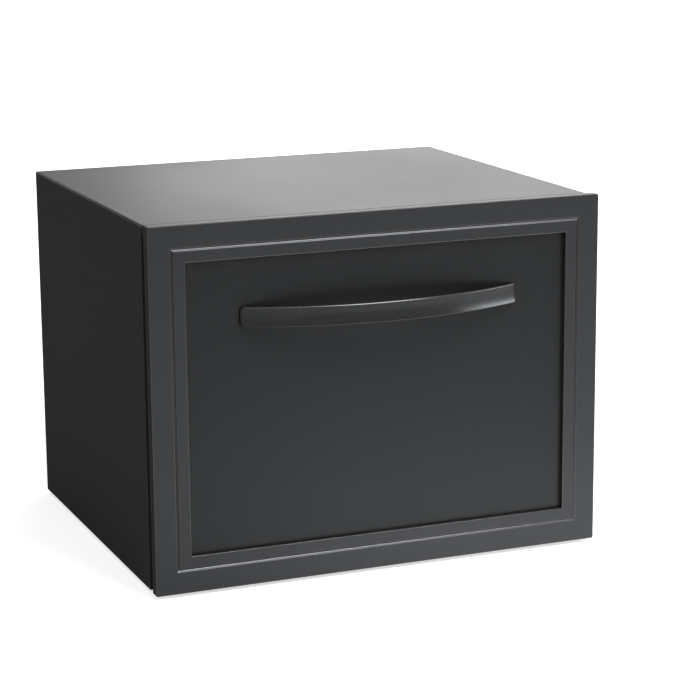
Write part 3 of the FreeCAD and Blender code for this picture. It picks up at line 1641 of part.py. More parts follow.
build_all()
document.recompute()
check_all()
os.makedirs("parts", exist_ok=True)
for label, item in nodes.items():
    item.Shape.exportStep(os.path.join("parts", f"{label}.step"))
    shape = item.Shape
    print(label, len(shape.Solids), round(shape.Volume))
print(len(nodes), "nodes")
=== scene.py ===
import json
import math

import bmesh
import bpy
from mathutils import Matrix, Vector


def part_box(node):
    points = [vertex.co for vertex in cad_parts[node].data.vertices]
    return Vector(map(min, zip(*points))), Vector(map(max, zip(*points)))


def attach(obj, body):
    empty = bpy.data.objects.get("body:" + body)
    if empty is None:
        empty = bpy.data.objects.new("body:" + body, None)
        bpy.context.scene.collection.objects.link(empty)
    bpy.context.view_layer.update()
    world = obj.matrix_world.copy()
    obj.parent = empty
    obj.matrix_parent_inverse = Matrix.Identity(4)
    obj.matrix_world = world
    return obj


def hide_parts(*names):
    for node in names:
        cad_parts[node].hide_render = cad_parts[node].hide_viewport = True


# A drawer minibar fridge: a black sheet-metal cabinet with a moulded drawer front, on a pale
# studio floor. Everything is in metres, +Z is up and the drawer opens along -Y.

MM = 0.001

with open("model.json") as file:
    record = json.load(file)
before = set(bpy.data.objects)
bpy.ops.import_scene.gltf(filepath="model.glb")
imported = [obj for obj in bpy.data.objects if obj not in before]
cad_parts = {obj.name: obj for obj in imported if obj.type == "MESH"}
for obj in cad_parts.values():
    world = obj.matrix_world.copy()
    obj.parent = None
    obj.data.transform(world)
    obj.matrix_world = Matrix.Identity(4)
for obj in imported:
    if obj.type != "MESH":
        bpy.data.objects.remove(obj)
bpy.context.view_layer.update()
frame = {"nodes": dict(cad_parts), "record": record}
nodes = frame["nodes"]


# Shader maths

class Value:
    """A shader socket that stands in an expression as a number would."""

    def __init__(self, finish, socket):
        self.finish = finish
        self.socket = socket

    def math(self, operation, *terms):
        return self.finish.node("Math", {"operation": operation}, dict(enumerate(terms)))

    def __add__(self, other):
        return self.math("ADD", self, other)

    def __radd__(self, other):
        return self.math("ADD", other, self)

    def __sub__(self, other):
        return self.math("SUBTRACT", self, other)

    def __rsub__(self, other):
        return self.math("SUBTRACT", other, self)

    def __mul__(self, other):
        return self.math("MULTIPLY", self, other)

    def __rmul__(self, other):
        return self.math("MULTIPLY", other, self)

    def __abs__(self):
        return self.math("ABSOLUTE", self)

    def larger(self, other):
        return self.math("MAXIMUM", self, other)

    def between(self, low, high):
        """0 below low, 1 above high and a smooth step from one to the other."""
        return self.finish.node("MapRange", {"interpolation_type": "SMOOTHSTEP"},
                                {"Value": self, "From Min": low, "From Max": high})


class Finish:
    """One material and the nodes that make it."""

    def __init__(self, name, tree=None):
        if tree is None:
            self.material = bpy.data.materials.new(name)
            self.material.use_nodes = True
            tree = self.material.node_tree
        self.tree = tree
        self.tree.nodes.clear()

    def node(self, kind, settings=None, inputs=None, output=0):
        """Add a node: its settings first, then the values or links of its sockets."""
        made = self.tree.nodes.new("ShaderNode" + kind)
        for name, setting in (settings or {}).items():
            setattr(made, name, setting)
        for name, given in (inputs or {}).items():
            if isinstance(given, Value):
                self.tree.links.new(given.socket, made.inputs[name])
            else:
                made.inputs[name].default_value = given
        return Value(self, made.outputs[output]) if made.outputs else None

    def spot(self, stretch=(1, 1, 1)):
        """The place on the piece in metres, stretched for a grain with a direction."""
        place = self.node("TexCoord", output="Object")
        if stretch == (1, 1, 1):
            return place
        return self.node("VectorMath", {"operation": "MULTIPLY"}, {0: place, 1: stretch})

    def axis(self, which):
        """One coordinate of the place on the piece, in metres."""
        return self.node("SeparateXYZ", None, {"Vector": self.spot()}, output=which)

    def noise(self, size, detail=2, stretch=(1, 1, 1), rough=0.5):
        """Soft noise from 0 to 1 whose patches are about size metres across."""
        return self.node("TexNoise", None, {"Vector": self.spot(stretch), "Scale": 1 / size,
                                            "Detail": detail, "Roughness": rough})

    def cells(self, size, feature="F1", output=0):
        """Cells about size metres across: the distance from their middle, or another output."""
        return self.node("TexVoronoi", {"feature": feature},
                         {"Vector": self.spot(), "Scale": 1 / size}, output)

    def edge(self, reach):
        """1 along outer and inner edges, fading to 0 within reach of them."""
        rounded = self.node("Bevel", {"samples": 4}, {"Radius": reach})
        flat = self.node("NewGeometry", output="True Normal")
        near = self.node("VectorMath", {"operation": "DOT_PRODUCT"}, {0: rounded, 1: flat}, "Value")
        return (1 - near).between(0.004, 0.08)

    def mix(self, mask, low, high):
        """One colour where the mask is 0 and another where it is 1."""
        return self.node("Mix", {"data_type": "RGBA"}, {0: mask, 6: low, 7: high}, 2)

    def skin(self, color, roughness, relief=None, depth=0.0, **constants):
        """A surface shader with a bump of the given depth in metres."""
        inputs = {"Base Color": color, "Roughness": roughness}
        inputs.update({name.replace("_", " "): value for name, value in constants.items()})
        if relief is not None:
            inputs["Normal"] = self.node("Bump", None, {"Height": relief, "Distance": depth})
        return self.node("BsdfPrincipled", None, inputs)

    def done(self, shader):
        """Finish the material with this shader and return it."""
        self.node("OutputMaterial", None, {"Surface": shader})
        return self.material


def grey(level, warm=0.0):
    """A neutral colour; warm tints it towards red, or towards blue below 0."""
    return (level * (1 + warm), level, level * (1 - warm), 1)


# Finishes

# Painted reflection: a faint blue of the soft boxes, tinted into the satin film of the dark pieces
PAINTED_BLUE_REFLECTION = (0.93, 0.96, 1, 1)

CABINET_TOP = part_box("cabinet_shell")[1].z
FRONT_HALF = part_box("front_frame")[1].x
FRONT_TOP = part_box("front_frame")[1].z


def cabinet_paint():
    """Black textured paint in a lit and a shaded copy: matt and darker on the sides as painted shade,
    with a lighter satin film on the top as painted light.
    """
    f = Finish("cabinet_paint")
    grain = f.noise(0.7 * MM, 3)
    cloud = f.noise(90 * MM, 3)
    worn = f.edge(0.9 * MM)
    # Painted shade: the sides get a darker matt copy of the paint; the lighter worn edges on it are
    # wear.
    shaded_side_and_worn_color = f.mix(cloud, grey(0.015), grey(0.021))
    shaded_side_and_worn_color = f.mix(worn * f.noise(4 * MM, 2) * 0.7, shaded_side_and_worn_color, grey(0.035))
    matt = f.skin(shaded_side_and_worn_color, 0.66 + cloud * 0.14, grain, 0.04 * MM, Specular_IOR_Level=0.03)
    # Painted light: the top gets a lighter, glossier copy of the same paint, standing in for the lamps'
    # light falling on it.
    lit_top_color = f.mix(cloud, grey(0.022, -0.03), grey(0.03, -0.03))
    smear = f.noise(140 * MM, 2, (1, 0.4, 1))
    satin = f.skin(lit_top_color, 0.44 + smear * 0.08, grain, 0.012 * MM, Specular_IOR_Level=0.34,
                   Specular_Tint=PAINTED_BLUE_REFLECTION)
    top = f.axis("Z").between(CABINET_TOP - 2.6 * MM, CABINET_TOP - 0.4 * MM)
    return f.done(f.node("MixShader", None, {0: top, 1: matt, 2: satin}))


def sheet_paint():
    """Black textured paint on the base and the rear cover."""
    f = Finish("sheet_paint")
    grain = f.noise(0.7 * MM, 3)
    cloud = f.noise(60 * MM, 3)
    worn = f.edge(0.8 * MM)
    color = f.mix(cloud, grey(0.012), grey(0.018))
    color = f.mix(worn * f.noise(3 * MM, 2), color, grey(0.06))
    return f.done(f.skin(color, 0.5 + cloud * 0.14, grain, 0.04 * MM, Specular_IOR_Level=0.3))


def front_plastic():
    """Satin dark grey moulding with polished edges, painted lighter along them as a highlight; its side
    walls are a matt copy as painted shade and its roof is a lighter dull copy as painted light.
    """
    f = Finish("front_plastic")
    grain = f.noise(0.35 * MM, 2)
    cloud = f.noise(120 * MM, 2)
    edge = f.edge(1.0 * MM)
    color = f.mix(cloud, grey(0.009, -0.03), grey(0.012, -0.03))
    # Painted highlight: the colour is lighter along the edges and lips, on top of their polish.
    color = f.mix(edge * 0.5, color, grey(0.022))
    rough = 0.35 + cloud * 0.08 - edge * 0.14
    # Painted reflection: the specular tint is the faint blue of the soft boxes.
    satin = f.skin(color, rough, grain, 0.01 * MM, Coat_Weight=edge, Coat_Roughness=0.17,
                   Coat_IOR=1.9, Specular_IOR_Level=0.44, Specular_Tint=(0.9, 0.94, 1, 1))
    # Painted shade: the side walls get a matt copy with almost no sheen, so that they read dark like
    # the cabinet's sides.
    matt = f.skin(grey(0.018), 0.7 + cloud * 0.1, grain, 0.03 * MM, Specular_IOR_Level=0.03)
    facing = {side: abs(f.node("SeparateXYZ", None,
                               {"Vector": f.node("NewGeometry", output="Normal")}, side))
              for side in "XZ"}
    rim = 3.2 * MM
    at_side = abs(f.axis("X")).between(FRONT_HALF - rim, FRONT_HALF - 0.8 * rim)
    at_top = f.axis("Z").between(FRONT_TOP - rim, FRONT_TOP - 0.8 * rim)
    wall = facing["X"].between(0.7, 0.95) * at_side
    roof = facing["Z"].between(0.7, 0.95) * at_top
    # Painted light: the roof gets a lighter copy with the satin film of the cabinet's top, standing in
    # for the light falling on it.
    dull = f.skin(grey(0.02), 0.44 + cloud * 0.06, grain, 0.012 * MM, Specular_IOR_Level=0.34,
                  Specular_Tint=PAINTED_BLUE_REFLECTION)
    shader = f.node("MixShader", None, {0: wall, 1: satin, 2: matt})
    return f.done(f.node("MixShader", None, {0: roof, 1: shader, 2: dull}))


def panel_plastic():
    """The smooth satin panel, with a faint cloudiness of wiping; its colour is painted lighter towards
    the bottom and darker towards the top as light and shade.
    """
    f = Finish("panel_plastic")
    grain = f.noise(0.5 * MM, 3)
    cloud = f.noise(160 * MM, 3)
    wipe = f.noise(40 * MM, 4, (0.35, 1, 1.4))
    # Painted light and shade: the colour is lighter near the bottom, where the floor's light falls, and
    # darker towards the top.
    low = f.axis("Z").between(0.03, 0.34)
    color = f.mix(low, grey(0.008, -0.02), grey(0.006, -0.02))
    color = f.mix(cloud * 0.4, color, grey(0.007, -0.02))
    rough = 0.3 + wipe * 0.1 + cloud * 0.04
    # Painted reflection: the specular tint is the faint blue of the soft boxes.
    return f.done(f.skin(color, rough, grain, 0.008 * MM, Specular_IOR_Level=0.28,
                         Specular_Tint=(0.91, 0.96, 1, 1)))


def handle_plastic():
    """The satin grip, a little more polished where hands rub it, and painted lighter along its top rim,
    most in the middle, as a highlight.
    """
    f = Finish("handle_plastic")
    grain = f.noise(0.4 * MM, 2)
    cloud = f.noise(50 * MM, 2)
    bottom, top = (corner.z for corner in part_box("handle"))
    middle = 1 - abs(f.axis("X")).between(0.02, 0.15)
    # Polish where hands rub the top rim. The same mask also carries a painted highlight on the rim.
    edge = f.axis("Z").between(top - 2.4 * MM, top - 1.2 * MM) * (0.25 + middle * 0.75)
    lip = 1 - f.axis("Z").between(bottom + 2 * MM, bottom + 11 * MM)
    color = f.mix(cloud, grey(0.005), grey(0.008))
    # Painted highlight: the top rim's colour is lighter, most in the middle of the grip.
    color = f.mix(edge * 0.6, color, grey(0.03))
    rough = 0.36 + cloud * 0.06 - middle * 0.06 - edge * 0.14 - lip * 0.1
    # Painted reflection: the specular tint is the faint blue of the soft boxes.
    return f.done(f.skin(color, rough, grain, 0.01 * MM, Specular_IOR_Level=0.5,
                         Specular_Tint=(0.92, 0.96, 1, 1), Coat_Weight=edge, Coat_Roughness=0.18))


def zinc_steel():
    """Bright zinc plate with its large pale crystals and dull rubbed edges."""
    f = Finish("zinc_steel")
    crystal = f.cells(7 * MM, output="Color")
    shade = f.node("SeparateXYZ", None, {"Vector": crystal}, "X")
    fine = f.noise(0.8 * MM, 3, (1, 6, 1))
    color = f.mix(shade * 0.6 + fine * 0.3, (0.48, 0.49, 0.5, 1), (0.68, 0.69, 0.7, 1))
    color = f.mix(f.edge(0.5 * MM) * 0.5, color, (0.82, 0.82, 0.82, 1))
    rough = 0.3 + shade * 0.12 + fine * 0.08
    return f.done(f.skin(color, rough, fine, 0.006 * MM, Metallic=1.0))


def bright_steel():
    """Polished ball cages and balls with fine rolling marks."""
    f = Finish("bright_steel")
    fine = f.noise(0.5 * MM, 3, (1, 8, 1))
    color = f.mix(fine, (0.68, 0.68, 0.69, 1), (0.8, 0.8, 0.8, 1))
    return f.done(f.skin(color, 0.16 + fine * 0.12, fine, 0.003 * MM, Metallic=1.0))


def raw_aluminium():
    """Extruded aluminium with lines along the fins and a dull oxide."""
    f = Finish("raw_aluminium")
    line = f.noise(0.5 * MM, 4, (1, 1, 0.05))
    dull = f.noise(14 * MM, 3)
    color = f.mix(line, (0.58, 0.59, 0.61, 1), (0.74, 0.75, 0.77, 1))
    color = f.mix(dull * 0.4, color, (0.52, 0.53, 0.54, 1))
    return f.done(f.skin(color, 0.3 + line * 0.14 + dull * 0.1, line, 0.01 * MM, Metallic=1.0))


def liner_plastic():
    """Gloss white vacuum-formed sheet with a slight orange peel and an uneven tone."""
    f = Finish("liner_plastic")
    peel = f.noise(3 * MM, 2)
    cloud = f.noise(80 * MM, 2)
    color = f.mix(cloud, (0.74, 0.745, 0.735, 1), (0.77, 0.775, 0.77, 1))
    return f.done(f.skin(color, 0.28 + cloud * 0.08, peel, 0.02 * MM))


def grey_plastic():
    """Mid grey moulding with a fine grain."""
    f = Finish("grey_plastic")
    grain = f.noise(0.4 * MM, 2)
    cloud = f.noise(20 * MM, 2)
    color = f.mix(cloud, (0.4, 0.41, 0.42, 1), (0.47, 0.48, 0.49, 1))
    color = f.mix(f.edge(0.4 * MM) * 0.4, color, (0.6, 0.61, 0.62, 1))
    return f.done(f.skin(color, 0.42 + cloud * 0.1, grain, 0.012 * MM))


def insulation_foam():
    """Rigid cream foam with open cells and a browned skin."""
    f = Finish("insulation_foam")
    cell = f.cells(1.1 * MM)
    skin = f.noise(30 * MM, 3)
    color = f.mix(cell, (0.78, 0.68, 0.42, 1), (0.62, 0.5, 0.28, 1))
    color = f.mix(skin * 0.6, color, (0.72, 0.6, 0.34, 1))
    return f.done(f.skin(color, 0.82 + skin * 0.1, cell, 0.3 * MM))


def black_rubber():
    """Soft matt rubber with a pale bloom."""
    f = Finish("black_rubber")
    grain = f.noise(0.6 * MM, 3)
    bloom = f.noise(12 * MM, 3)
    color = f.mix(bloom, grey(0.012), grey(0.024))
    return f.done(f.skin(color, 0.62 + bloom * 0.2, grain, 0.03 * MM, Specular_IOR_Level=0.3))


def black_plastic():
    """Black glass-filled nylon of the fans, the inlet and the plug sockets."""
    f = Finish("black_plastic")
    fibre = f.noise(0.6 * MM, 4, (1, 3, 1))
    cloud = f.noise(15 * MM, 2)
    color = f.mix(cloud, grey(0.018), grey(0.03))
    color = f.mix(f.edge(0.4 * MM) * 0.5, color, grey(0.06))
    return f.done(f.skin(color, 0.38 + fibre * 0.16, fibre, 0.01 * MM))


def ceramic():
    """White alumina of the cooling module."""
    f = Finish("ceramic")
    speck = f.noise(0.8 * MM, 4)
    color = f.mix(speck, (0.8, 0.8, 0.77, 1), (0.88, 0.88, 0.86, 1))
    return f.done(f.skin(color, 0.4 + speck * 0.12, speck, 0.01 * MM))


def circuit_board():
    """Green lacquer over copper tracks, with tinned pads."""
    f = Finish("circuit_board")
    track = 1 - f.cells(5 * MM, "DISTANCE_TO_EDGE").between(0.03, 0.06)
    pad = 1 - f.cells(3.6 * MM).between(0.12, 0.17)
    color = f.mix(track, (0.012, 0.095, 0.04, 1), (0.03, 0.17, 0.07, 1))
    color = f.mix(pad, color, (0.55, 0.55, 0.52, 1))
    return f.done(f.skin(color, 0.3 + pad * 0.12 + f.noise(8 * MM) * 0.08, track, 0.03 * MM))


def brass_pins():
    """Bright brass with a slight tarnish."""
    f = Finish("brass_pins")
    tarnish = f.noise(2.5 * MM, 3)
    color = f.mix(tarnish, (0.78, 0.6, 0.28, 1), (0.6, 0.45, 0.22, 1))
    return f.done(f.skin(color, 0.2 + tarnish * 0.16, tarnish, 0.004 * MM, Metallic=1.0))


def frosted_lens():
    """Frosted clear plastic over the lamp."""
    f = Finish("frosted_lens")
    frost = f.noise(0.9 * MM, 3)
    color = f.mix(frost, (0.86, 0.88, 0.87, 1), (0.95, 0.96, 0.95, 1))
    return f.done(f.skin(color, 0.34 + frost * 0.14, frost, 0.03 * MM,
                         Transmission_Weight=0.7, IOR=1.49))


FINISHES = {
    "black_steel": sheet_paint(),
    "front_plastic": front_plastic(),
    "panel_plastic": panel_plastic(),
    "handle_plastic": handle_plastic(),
    "zinc_steel": zinc_steel(),
    "bright_steel": bright_steel(),
    "cast_aluminium": raw_aluminium(),
    "liner_plastic": liner_plastic(),
    "grey_plastic": grey_plastic(),
    "foam": insulation_foam(),
    "black_rubber": black_rubber(),
    "black_plastic": black_plastic(),
    "ceramic": ceramic(),
    "circuit_board": circuit_board(),
    "brass_pins": brass_pins(),
    "clear_lens": frosted_lens(),
}

SLOTS = {part["node"]: part["material_slot"] for part in frame["record"]["subparts"]}


def dress(name, finish):
    """Give one CAD node its finish."""
    mesh = nodes[name].data
    mesh.materials.clear()
    mesh.materials.append(finish)


def round_off(name, width, angle=35.0, segments=2):
    """Take the sharpness off a node's outer edges, as tools and moulds do."""
    piece = nodes[name]
    weld = piece.modifiers.new("join", "WELD")
    weld.merge_threshold = 0.001 * MM
    cut = piece.modifiers.new("edges", "BEVEL")
    cut.width = width
    cut.segments = segments
    cut.limit_method = "ANGLE"
    cut.angle_limit = math.radians(angle)
    cut.use_clamp_overlap = True
    cut.harden_normals = True


for name in nodes:
    dress(name, FINISHES[SLOTS[name]])
dress("cabinet_shell", cabinet_paint())

# The width of each rounded edge, in mm
ROUNDED = {
    "decor_panel": 0.2,
    "cabinet_shell": 0.2,
    "base_pan": 0.2,
    "drawer_bin": 0.6,
    "divider_left": 0.5,
    "divider_right": 0.5,
    "inner_liner": 0.5,
    "front_liner": 0.5,
    "cold_fan_cover": 0.5,
    "control_housing": 0.5,
    "mains_inlet": 0.4,
}
for name, width in ROUNDED.items():
    round_off(name, width * MM)


# Modelled pieces

def piece_from(name, body, slot, build):
    """A mesh piece that rides on a body; build fills its bmesh."""
    mesh = bpy.data.meshes.new(name)
    shape = bmesh.new()
    build(shape)
    bmesh.ops.recalc_face_normals(shape, faces=shape.faces)
    shape.to_mesh(mesh)
    shape.free()
    made = bpy.data.objects.new(name, mesh)
    bpy.context.scene.collection.objects.link(made)
    mesh.materials.append(FINISHES[slot])
    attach(made, body)
    return made


def skin_rings(shape, rings, closed=False):
    """Skin a tube over rings of vertices; a closed one also joins the last ring to the first."""
    following_rings = rings[1:] + rings[:1] if closed else rings[1:]
    count = len(rings[0])
    for ring, following in zip(rings, following_rings):
        for place in range(count):
            after = (place + 1) % count
            shape.faces.new((ring[place], ring[after], following[after], following[place]))


def smooth(piece, angle=40.0):
    """Shade a piece smooth apart from its real edges."""
    mesh = piece.data
    mesh.shade_smooth()
    mesh.set_sharp_from_angle(angle=math.radians(angle))
    flats = piece.modifiers.new("flats", "WEIGHTED_NORMAL")
    flats.weight = 100
    flats.keep_sharp = True


def arc(centre, radius, start, end, steps=4):
    """Points (inset, depth) of a rounded edge, from one angle to another in degrees."""
    turns = [math.radians(start + (end - start) * step / steps) for step in range(steps + 1)]
    return [(centre[0] + radius * math.cos(turn), centre[1] + radius * math.sin(turn))
            for turn in turns]


def moulded_ring(name, node, profile, corner):
    """A ring round the drawer front, whose section is a profile of (inset, depth) in mm."""
    low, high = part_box("front_frame")
    front, middle_z = low.y, (low.z + high.z) / 2
    half, tall = high.x, (high.z - low.z) / 2
    corner_steps, sharpest = 5, 0.25 * MM

    def build(shape):
        rings = []
        for inset, deep in profile:
            inset = inset * MM
            round_by = max(corner * MM - inset, sharpest)
            ring = []
            for side_x, side_z, start in ((1, -1, -90), (1, 1, 0), (-1, 1, 90), (-1, -1, 180)):
                centre_x = side_x * (half - inset - round_by)
                centre_z = middle_z + side_z * (tall - inset - round_by)
                for step in range(corner_steps + 1):
                    turn = math.radians(start + 90 * step / corner_steps)
                    ring.append(shape.verts.new((centre_x + math.cos(turn) * round_by,
                                                 front + deep * MM,
                                                 centre_z + math.sin(turn) * round_by)))
            rings.append(ring)
        skin_rings(shape, rings, closed=True)

    ring = piece_from(name, "drawer", "front_plastic", build)
    smooth(ring, 32)
    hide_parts(node)


def make_front_rings():
    """The outer frame and the bezel, whose lips slope into the groove between them.

    The frame is stepped in at its rear edge, which makes the seam to the cabinet. Sizes in mm.
    """
    margin, wall, depth, edge = 24.0, 3.0, 19, 0.9
    step_in, step_depth = 2.2, 12.2
    lip_wide, lip_deep, lip_edge, lip_shift = 1.7, 1.2, 0.5, 0.15
    flange_depth = 8.5
    bezel_gap, bezel_wide, bezel_depth = 0.1, 13.5, 5.5
    slope = math.degrees(math.atan2(lip_deep, lip_wide))
    frame_profile = (
        [(step_in, depth), (step_in, step_depth), (0.3, 12), (0, 11.7)]
        + arc((edge, edge), edge, 180, 270)
        + arc((margin - lip_wide - lip_shift, lip_edge), lip_edge, -90, slope - 90, 2)
        + [(margin, lip_deep), (margin, flange_depth), (margin - wall, flange_depth),
           (margin - wall, wall), (wall, wall), (wall, depth)])
    moulded_ring("moulded_frame", "front_frame", frame_profile, 1.5)
    start, end = margin + bezel_gap, margin + bezel_wide
    bezel_profile = (
        [(start, bezel_depth), (start, lip_deep)]
        + arc((start + lip_wide + lip_shift, lip_edge), lip_edge, -90 - slope, -90, 2)
        + arc((end - edge, edge), edge, -90, 0)
        + [(end, bezel_depth)])
    moulded_ring("bezel_ring", "front_bezel", bezel_profile, 0)


def make_gasket():
    """The magnetic seal: a foot in the front, a bellows and the bead over the magnets."""
    low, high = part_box("gasket")
    wide = high.x
    middle_z = (low.z + high.z) / 2
    tall = high.z - middle_z
    thick = high.y - low.y
    # (inset in mm, share of the thickness)
    profile = ((0.3, 0), (1.2, 0.25), (0.4, 0.55), (0, 0.78), (1.0, 0.98), (3.6, 1.0), (5.2, 0.82),
               (6.2, 0.94), (9.0, 1.0), (12.0, 0.94), (12.9, 0.8), (14.6, 0.98), (17.0, 1.0),
               (18.0, 0.78), (17.5, 0.5), (16.9, 0.25), (17.7, 0))

    def build(shape):
        rings = []
        for inset, share in profile:
            inset = inset * MM
            deep = low.y + thick * share
            rings.append([
                shape.verts.new((x * (wide - inset), deep, middle_z + z * (tall - inset)))
                for x, z in ((-1, -1), (1, -1), (1, 1), (-1, 1))
            ])
        skin_rings(shape, rings, closed=True)

    seal = piece_from("magnetic_seal", "drawer", "black_rubber", build)
    round_it = seal.modifiers.new("soften", "BEVEL")
    round_it.width = 0.35 * MM
    round_it.segments = 2
    round_it.limit_method = "ANGLE"
    round_it.angle_limit = math.radians(25)
    smooth(seal, 30)
    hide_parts("gasket")


def make_feet():
    """Turned rubber feet with a domed edge, a ring groove and a stem."""
    # Each foot's middle, as the sum and the count of the places of its vertices
    one_foot = 30 * MM
    spots = []
    for vertex in nodes["feet"].data.vertices:
        place = Vector((vertex.co.x, vertex.co.y, 0))
        for spot in spots:
            if (spot[0] / spot[1] - place).length < one_foot:
                spot[0] += place
                spot[1] += 1
                break
        else:
            spots.append([place.copy(), 1])
    # (radius, height) in mm
    outline = ((0, 0), (8.2, 0), (8.6, 0.25), (7.4, 0.5), (8.8, 0.9), (9.7, 1.3), (10, 2.0), (9.9, 3.2),
               (9.4, 3.8), (8.8, 4.0), (2.0, 4.0), (2.0, 6.2), (2.6, 7.0), (1.9, 12.8), (0, 13.0))
    turns = 40

    def build(shape):
        for total, count in spots:
            centre = total / count
            rings = []
            for radius, height in outline:
                if radius == 0:
                    rings.append([shape.verts.new((centre.x, centre.y, height * MM))])
                    continue
                rings.append([
                    shape.verts.new((centre.x + math.cos(turn) * radius * MM,
                                     centre.y + math.sin(turn) * radius * MM, height * MM))
                    for turn in (math.tau * step / turns for step in range(turns))
                ])
            for ring, following in zip(rings, rings[1:]):
                for step in range(turns):
                    after = (step + 1) % turns
                    if len(ring) == 1:
                        shape.faces.new((ring[0], following[after], following[step]))
                    elif len(following) == 1:
                        shape.faces.new((ring[step], ring[after], following[0]))
                    else:
                        shape.faces.new((ring[step], ring[after],
                                         following[after], following[step]))

    feet = piece_from("rubber_feet", "cabinet", "black_rubber", build)
    smooth(feet, 35)
    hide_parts("feet")


def make_handle():
    """The bowed grip with its two posts: a round top rim over a face that kicks out at its foot."""
    low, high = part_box("handle")
    half, panel = high.x, high.y
    middle_z, tall = (low.z + high.z) / 2, (high.z - low.z) / 2
    thick, corner = 5 * MM, 4 * MM
    rise = panel - low.y - thick
    inner = (half * half + rise * rise) / (rise * 2)
    outer = inner + thick
    centre_y = low.y + outer
    kick_high, kick_deep = 13 * MM, 2.3 * MM
    kick_radius = (kick_high ** 2 + kick_deep ** 2) / (kick_deep * 2)
    top_rim, low_rim, back_edge = 1.9 * MM, 0.8 * MM, 0.6 * MM
    end_reach, end_back = 3.2 * MM, 1.7 * MM
    face_steps, turn_steps = 14, 6

    def section(along):
        """The ring of (depth from the outer face, height) at one place along the span."""
        left = half - abs(along)
        shrink = 0
        if left < corner:
            shrink = corner - math.sqrt(max(corner ** 2 - (corner - left) ** 2, 0))
        reach = tall - shrink
        end = max(1 - left / end_reach, 0)
        back = end_back * (1 - math.sqrt(max(1 - end * end, 0)))
        lowest, highest = low_rim - reach, reach - top_rim
        ring = []
        for step in range(face_steps + 1):
            height = lowest + (highest - lowest) * (step / face_steps) ** 1.3
            above = max(kick_high - (height - lowest), 0)
            dip = kick_deep - kick_radius + math.sqrt(kick_radius ** 2 - above ** 2)
            ring.append((dip + back, height))
        for step in range(1, turn_steps + 1):
            turn = math.pi / 2 * step / turn_steps
            ring.append((kick_deep + back + (1 - math.cos(turn)) * top_rim,
                         highest + math.sin(turn) * top_rim))
        ring += [(thick, reach - back_edge), (thick, 0), (thick, 0.7 * MM - reach),
                 (thick - back_edge, -reach), (thick * 0.6, -reach)]
        for step in range(turn_steps, 0, -1):
            turn = math.pi / 2 * step / turn_steps
            ring.append(((1 - math.cos(turn)) * low_rim + back,
                         lowest - math.sin(turn) * low_rim))
        return ring

    # Sections stand close together at the ends, in mm from them, and evenly between
    ends = [0, 0.12, 0.35, 0.7, 1.1, 1.6, 2.3, 3.1, 4, 5, 6, 7.5, 9, 10.5, 12, 14]
    steps = 56
    even = half - ends[-1] * MM
    inside = [even - even * 2 * step / steps for step in range(steps + 1)]
    places = ([half - end * MM for end in ends[:-1]] + inside
              + [end * MM - half for end in ends[-2::-1]])
    post_inset, post_sides = 11 * MM, 28
    # (radius, distance from the panel) in mm
    post_outline = ((6.2, 0), (5.4, 0.5), (5, 1.4), (5, 6), (0.01, 6))

    def build(shape):
        rings = []
        for along in places:
            ring = []
            for depth, height in section(along):
                radius = outer - depth
                ring.append(shape.verts.new((along, centre_y - math.sqrt(radius ** 2 - along ** 2),
                                             middle_z + height)))
            rings.append(ring)
        skin_rings(shape, rings)
        for ring in (rings[0], rings[-1]):
            shape.faces.new(ring)
        for side in (-1, 1):
            post = side * (half - post_inset)
            rings = []
            for radius, deep in post_outline:
                rings.append([
                    shape.verts.new((post + math.cos(turn) * radius * MM, panel - deep * MM,
                                     middle_z + math.sin(turn) * radius * MM))
                    for turn in (math.tau * step / post_sides for step in range(post_sides))
                ])
            skin_rings(shape, rings)

    grip = piece_from("bowed_grip", "drawer", "handle_plastic", build)
    smooth(grip, 50)
    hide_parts("handle")


make_front_rings()
make_gasket()
make_feet()
make_handle()


# Studio

def camera_like_photo():
    """A long lens from the front left, a little above the top."""
    azimuth, elevation, roll = (math.radians(turn) for turn in (-22.28, 12.84, -0.425))
    back = Vector((math.sin(azimuth) * math.cos(elevation),
                   -math.cos(azimuth) * math.cos(elevation), math.sin(elevation)))
    level = (-back).cross(Vector((0, 0, 1))).normalized()
    upright = level.cross(-back)
    right = math.cos(roll) * level + math.sin(roll) * upright
    up = math.cos(roll) * upright - math.sin(roll) * level
    place = Vector((-879.6, -2255.1, 742.9)) * MM
    lens = bpy.data.cameras.new("camera")
    lens.lens = 117.81
    lens.sensor_width = 36
    lens.clip_start = 0.05
    lens.clip_end = 200
    camera = bpy.data.objects.new("camera", lens)
    bpy.context.scene.collection.objects.link(camera)
    turn = Matrix((right, up, back)).transposed().to_4x4()
    camera.matrix_world = Matrix.Translation(place) @ turn
    bpy.context.scene.camera = camera


def soft_light(name, place, aim, size, power):
    """A square soft box at a place, turned towards a point."""
    lamp = bpy.data.lights.new(name, "AREA")
    lamp.shape = "RECTANGLE"
    lamp.size, lamp.size_y = size
    lamp.energy = power
    light = bpy.data.objects.new(name, lamp)
    bpy.context.scene.collection.objects.link(light)
    light.location = place
    light.rotation_mode = "QUATERNION"
    light.rotation_quaternion = (Vector(aim) - Vector(place)).to_track_quat("-Z", "Y")


def background_rays(f):
    """1 for the rays that show the background: camera, mirror and see-through rays."""
    seen = f.node("LightPath", output="Is Camera Ray")
    for kind in ("Is Glossy Ray", "Is Transmission Ray"):
        seen = seen.larger(f.node("LightPath", output=kind))
    return seen


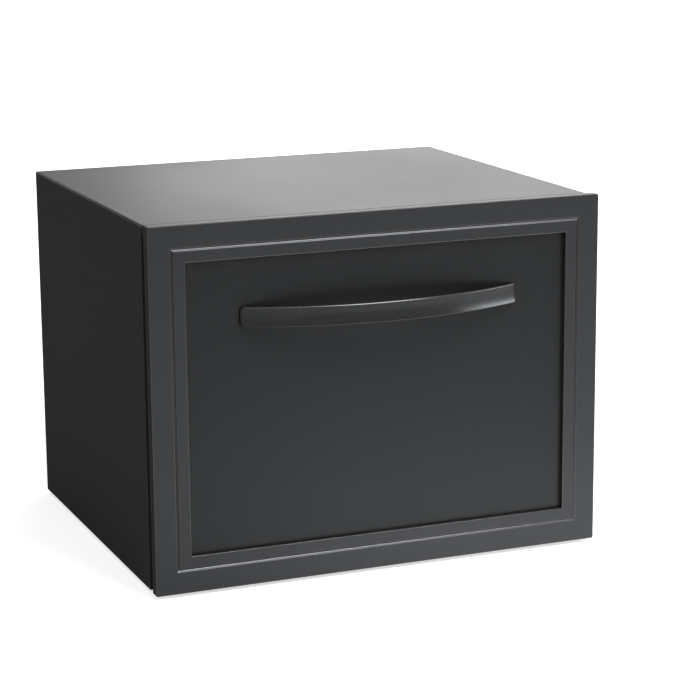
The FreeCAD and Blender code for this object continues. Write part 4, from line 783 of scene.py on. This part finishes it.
def make_floor():
    """A wide pale floor that shows white and keeps the shadow under the cabinet."""
    reach, steps = 26.0, 96
    turns = [math.tau * step / steps for step in range(steps)]
    shape = bmesh.new()
    rim = [shape.verts.new((math.cos(turn) * reach, math.sin(turn) * reach, 0)) for turn in turns]
    shape.faces.new(rim)
    mesh = bpy.data.meshes.new("floor")
    shape.to_mesh(mesh)
    shape.free()
    floor = bpy.data.objects.new("floor", mesh)
    bpy.context.scene.collection.objects.link(floor)
    f = Finish("floor")
    paper = f.noise(0.6, 2)
    color = f.mix(paper, grey(0.85), grey(0.87))
    shader = f.skin(color, 0.9, Specular_IOR_Level=0.0)
    camera_ray = f.node("LightPath", output="Is Camera Ray")
    from_middle = f.node("VectorMath", {"operation": "LENGTH"}, {0: f.spot()}, "Value")
    away = from_middle.between(0.45, 1.3)
    # A pool of light in front of the cabinet, which only mirror and see-through rays see
    from_pool = f.node("VectorMath", {"operation": "DISTANCE"},
                       {0: f.spot(), 1: (0.2, -0.34, 0)}, "Value")
    pool = 1 - from_pool.between(0.08, 0.55)
    glow = camera_ray * (0.62 + away * 0.36) + (background_rays(f) - camera_ray) * (pool * 1.4)
    glow = f.node("Emission", None, {"Color": grey(1), "Strength": glow})
    mesh.materials.append(f.done(f.node("AddShader", None, {0: shader, 1: glow})))


def make_world():
    """Plain even light, shown as white behind the floor."""
    world = bpy.data.worlds.new("studio")
    world.use_nodes = True
    bpy.context.scene.world = world
    f = Finish("studio", world.node_tree)
    height = f.node("SeparateXYZ", None, {"Vector": f.node("TexCoord", output="Generated")}, "Z")
    even = 0.58 - height.between(0.2, 0.55) * 0.28
    strength = even + f.node("LightPath", output="Is Camera Ray") * (1 - even)
    light = f.node("Background", None, {"Color": grey(1), "Strength": strength})
    f.node("OutputWorld", None, {"Surface": light})


camera_like_photo()
make_floor()
make_world()
soft_light("overhead", (0.62, -1.48, 1.95), (0.1, -0.2, 0.2), (1.2, 0.8), 46)
soft_light("overhead_left", (-0.75, -1.3, 1.9), (0, -0.2, 0.2), (1.3, 0.8), 7)
soft_light("right_side", (1.85, -0.8, 0.78), (0.1, -0.2, 0.2), (1.0, 0.4), 13)
soft_light("back_right", (2.2, 3.0, 1.3), (0.1, 0, 0.35), (3.0, 1.2), 46)
soft_light("left_fill", (-2.2, 0.8, 0.7), (-0.2, 0.1, 0.15), (1.4, 1.0), 12)
bpy.context.scene.view_settings.view_transform = "Standard"
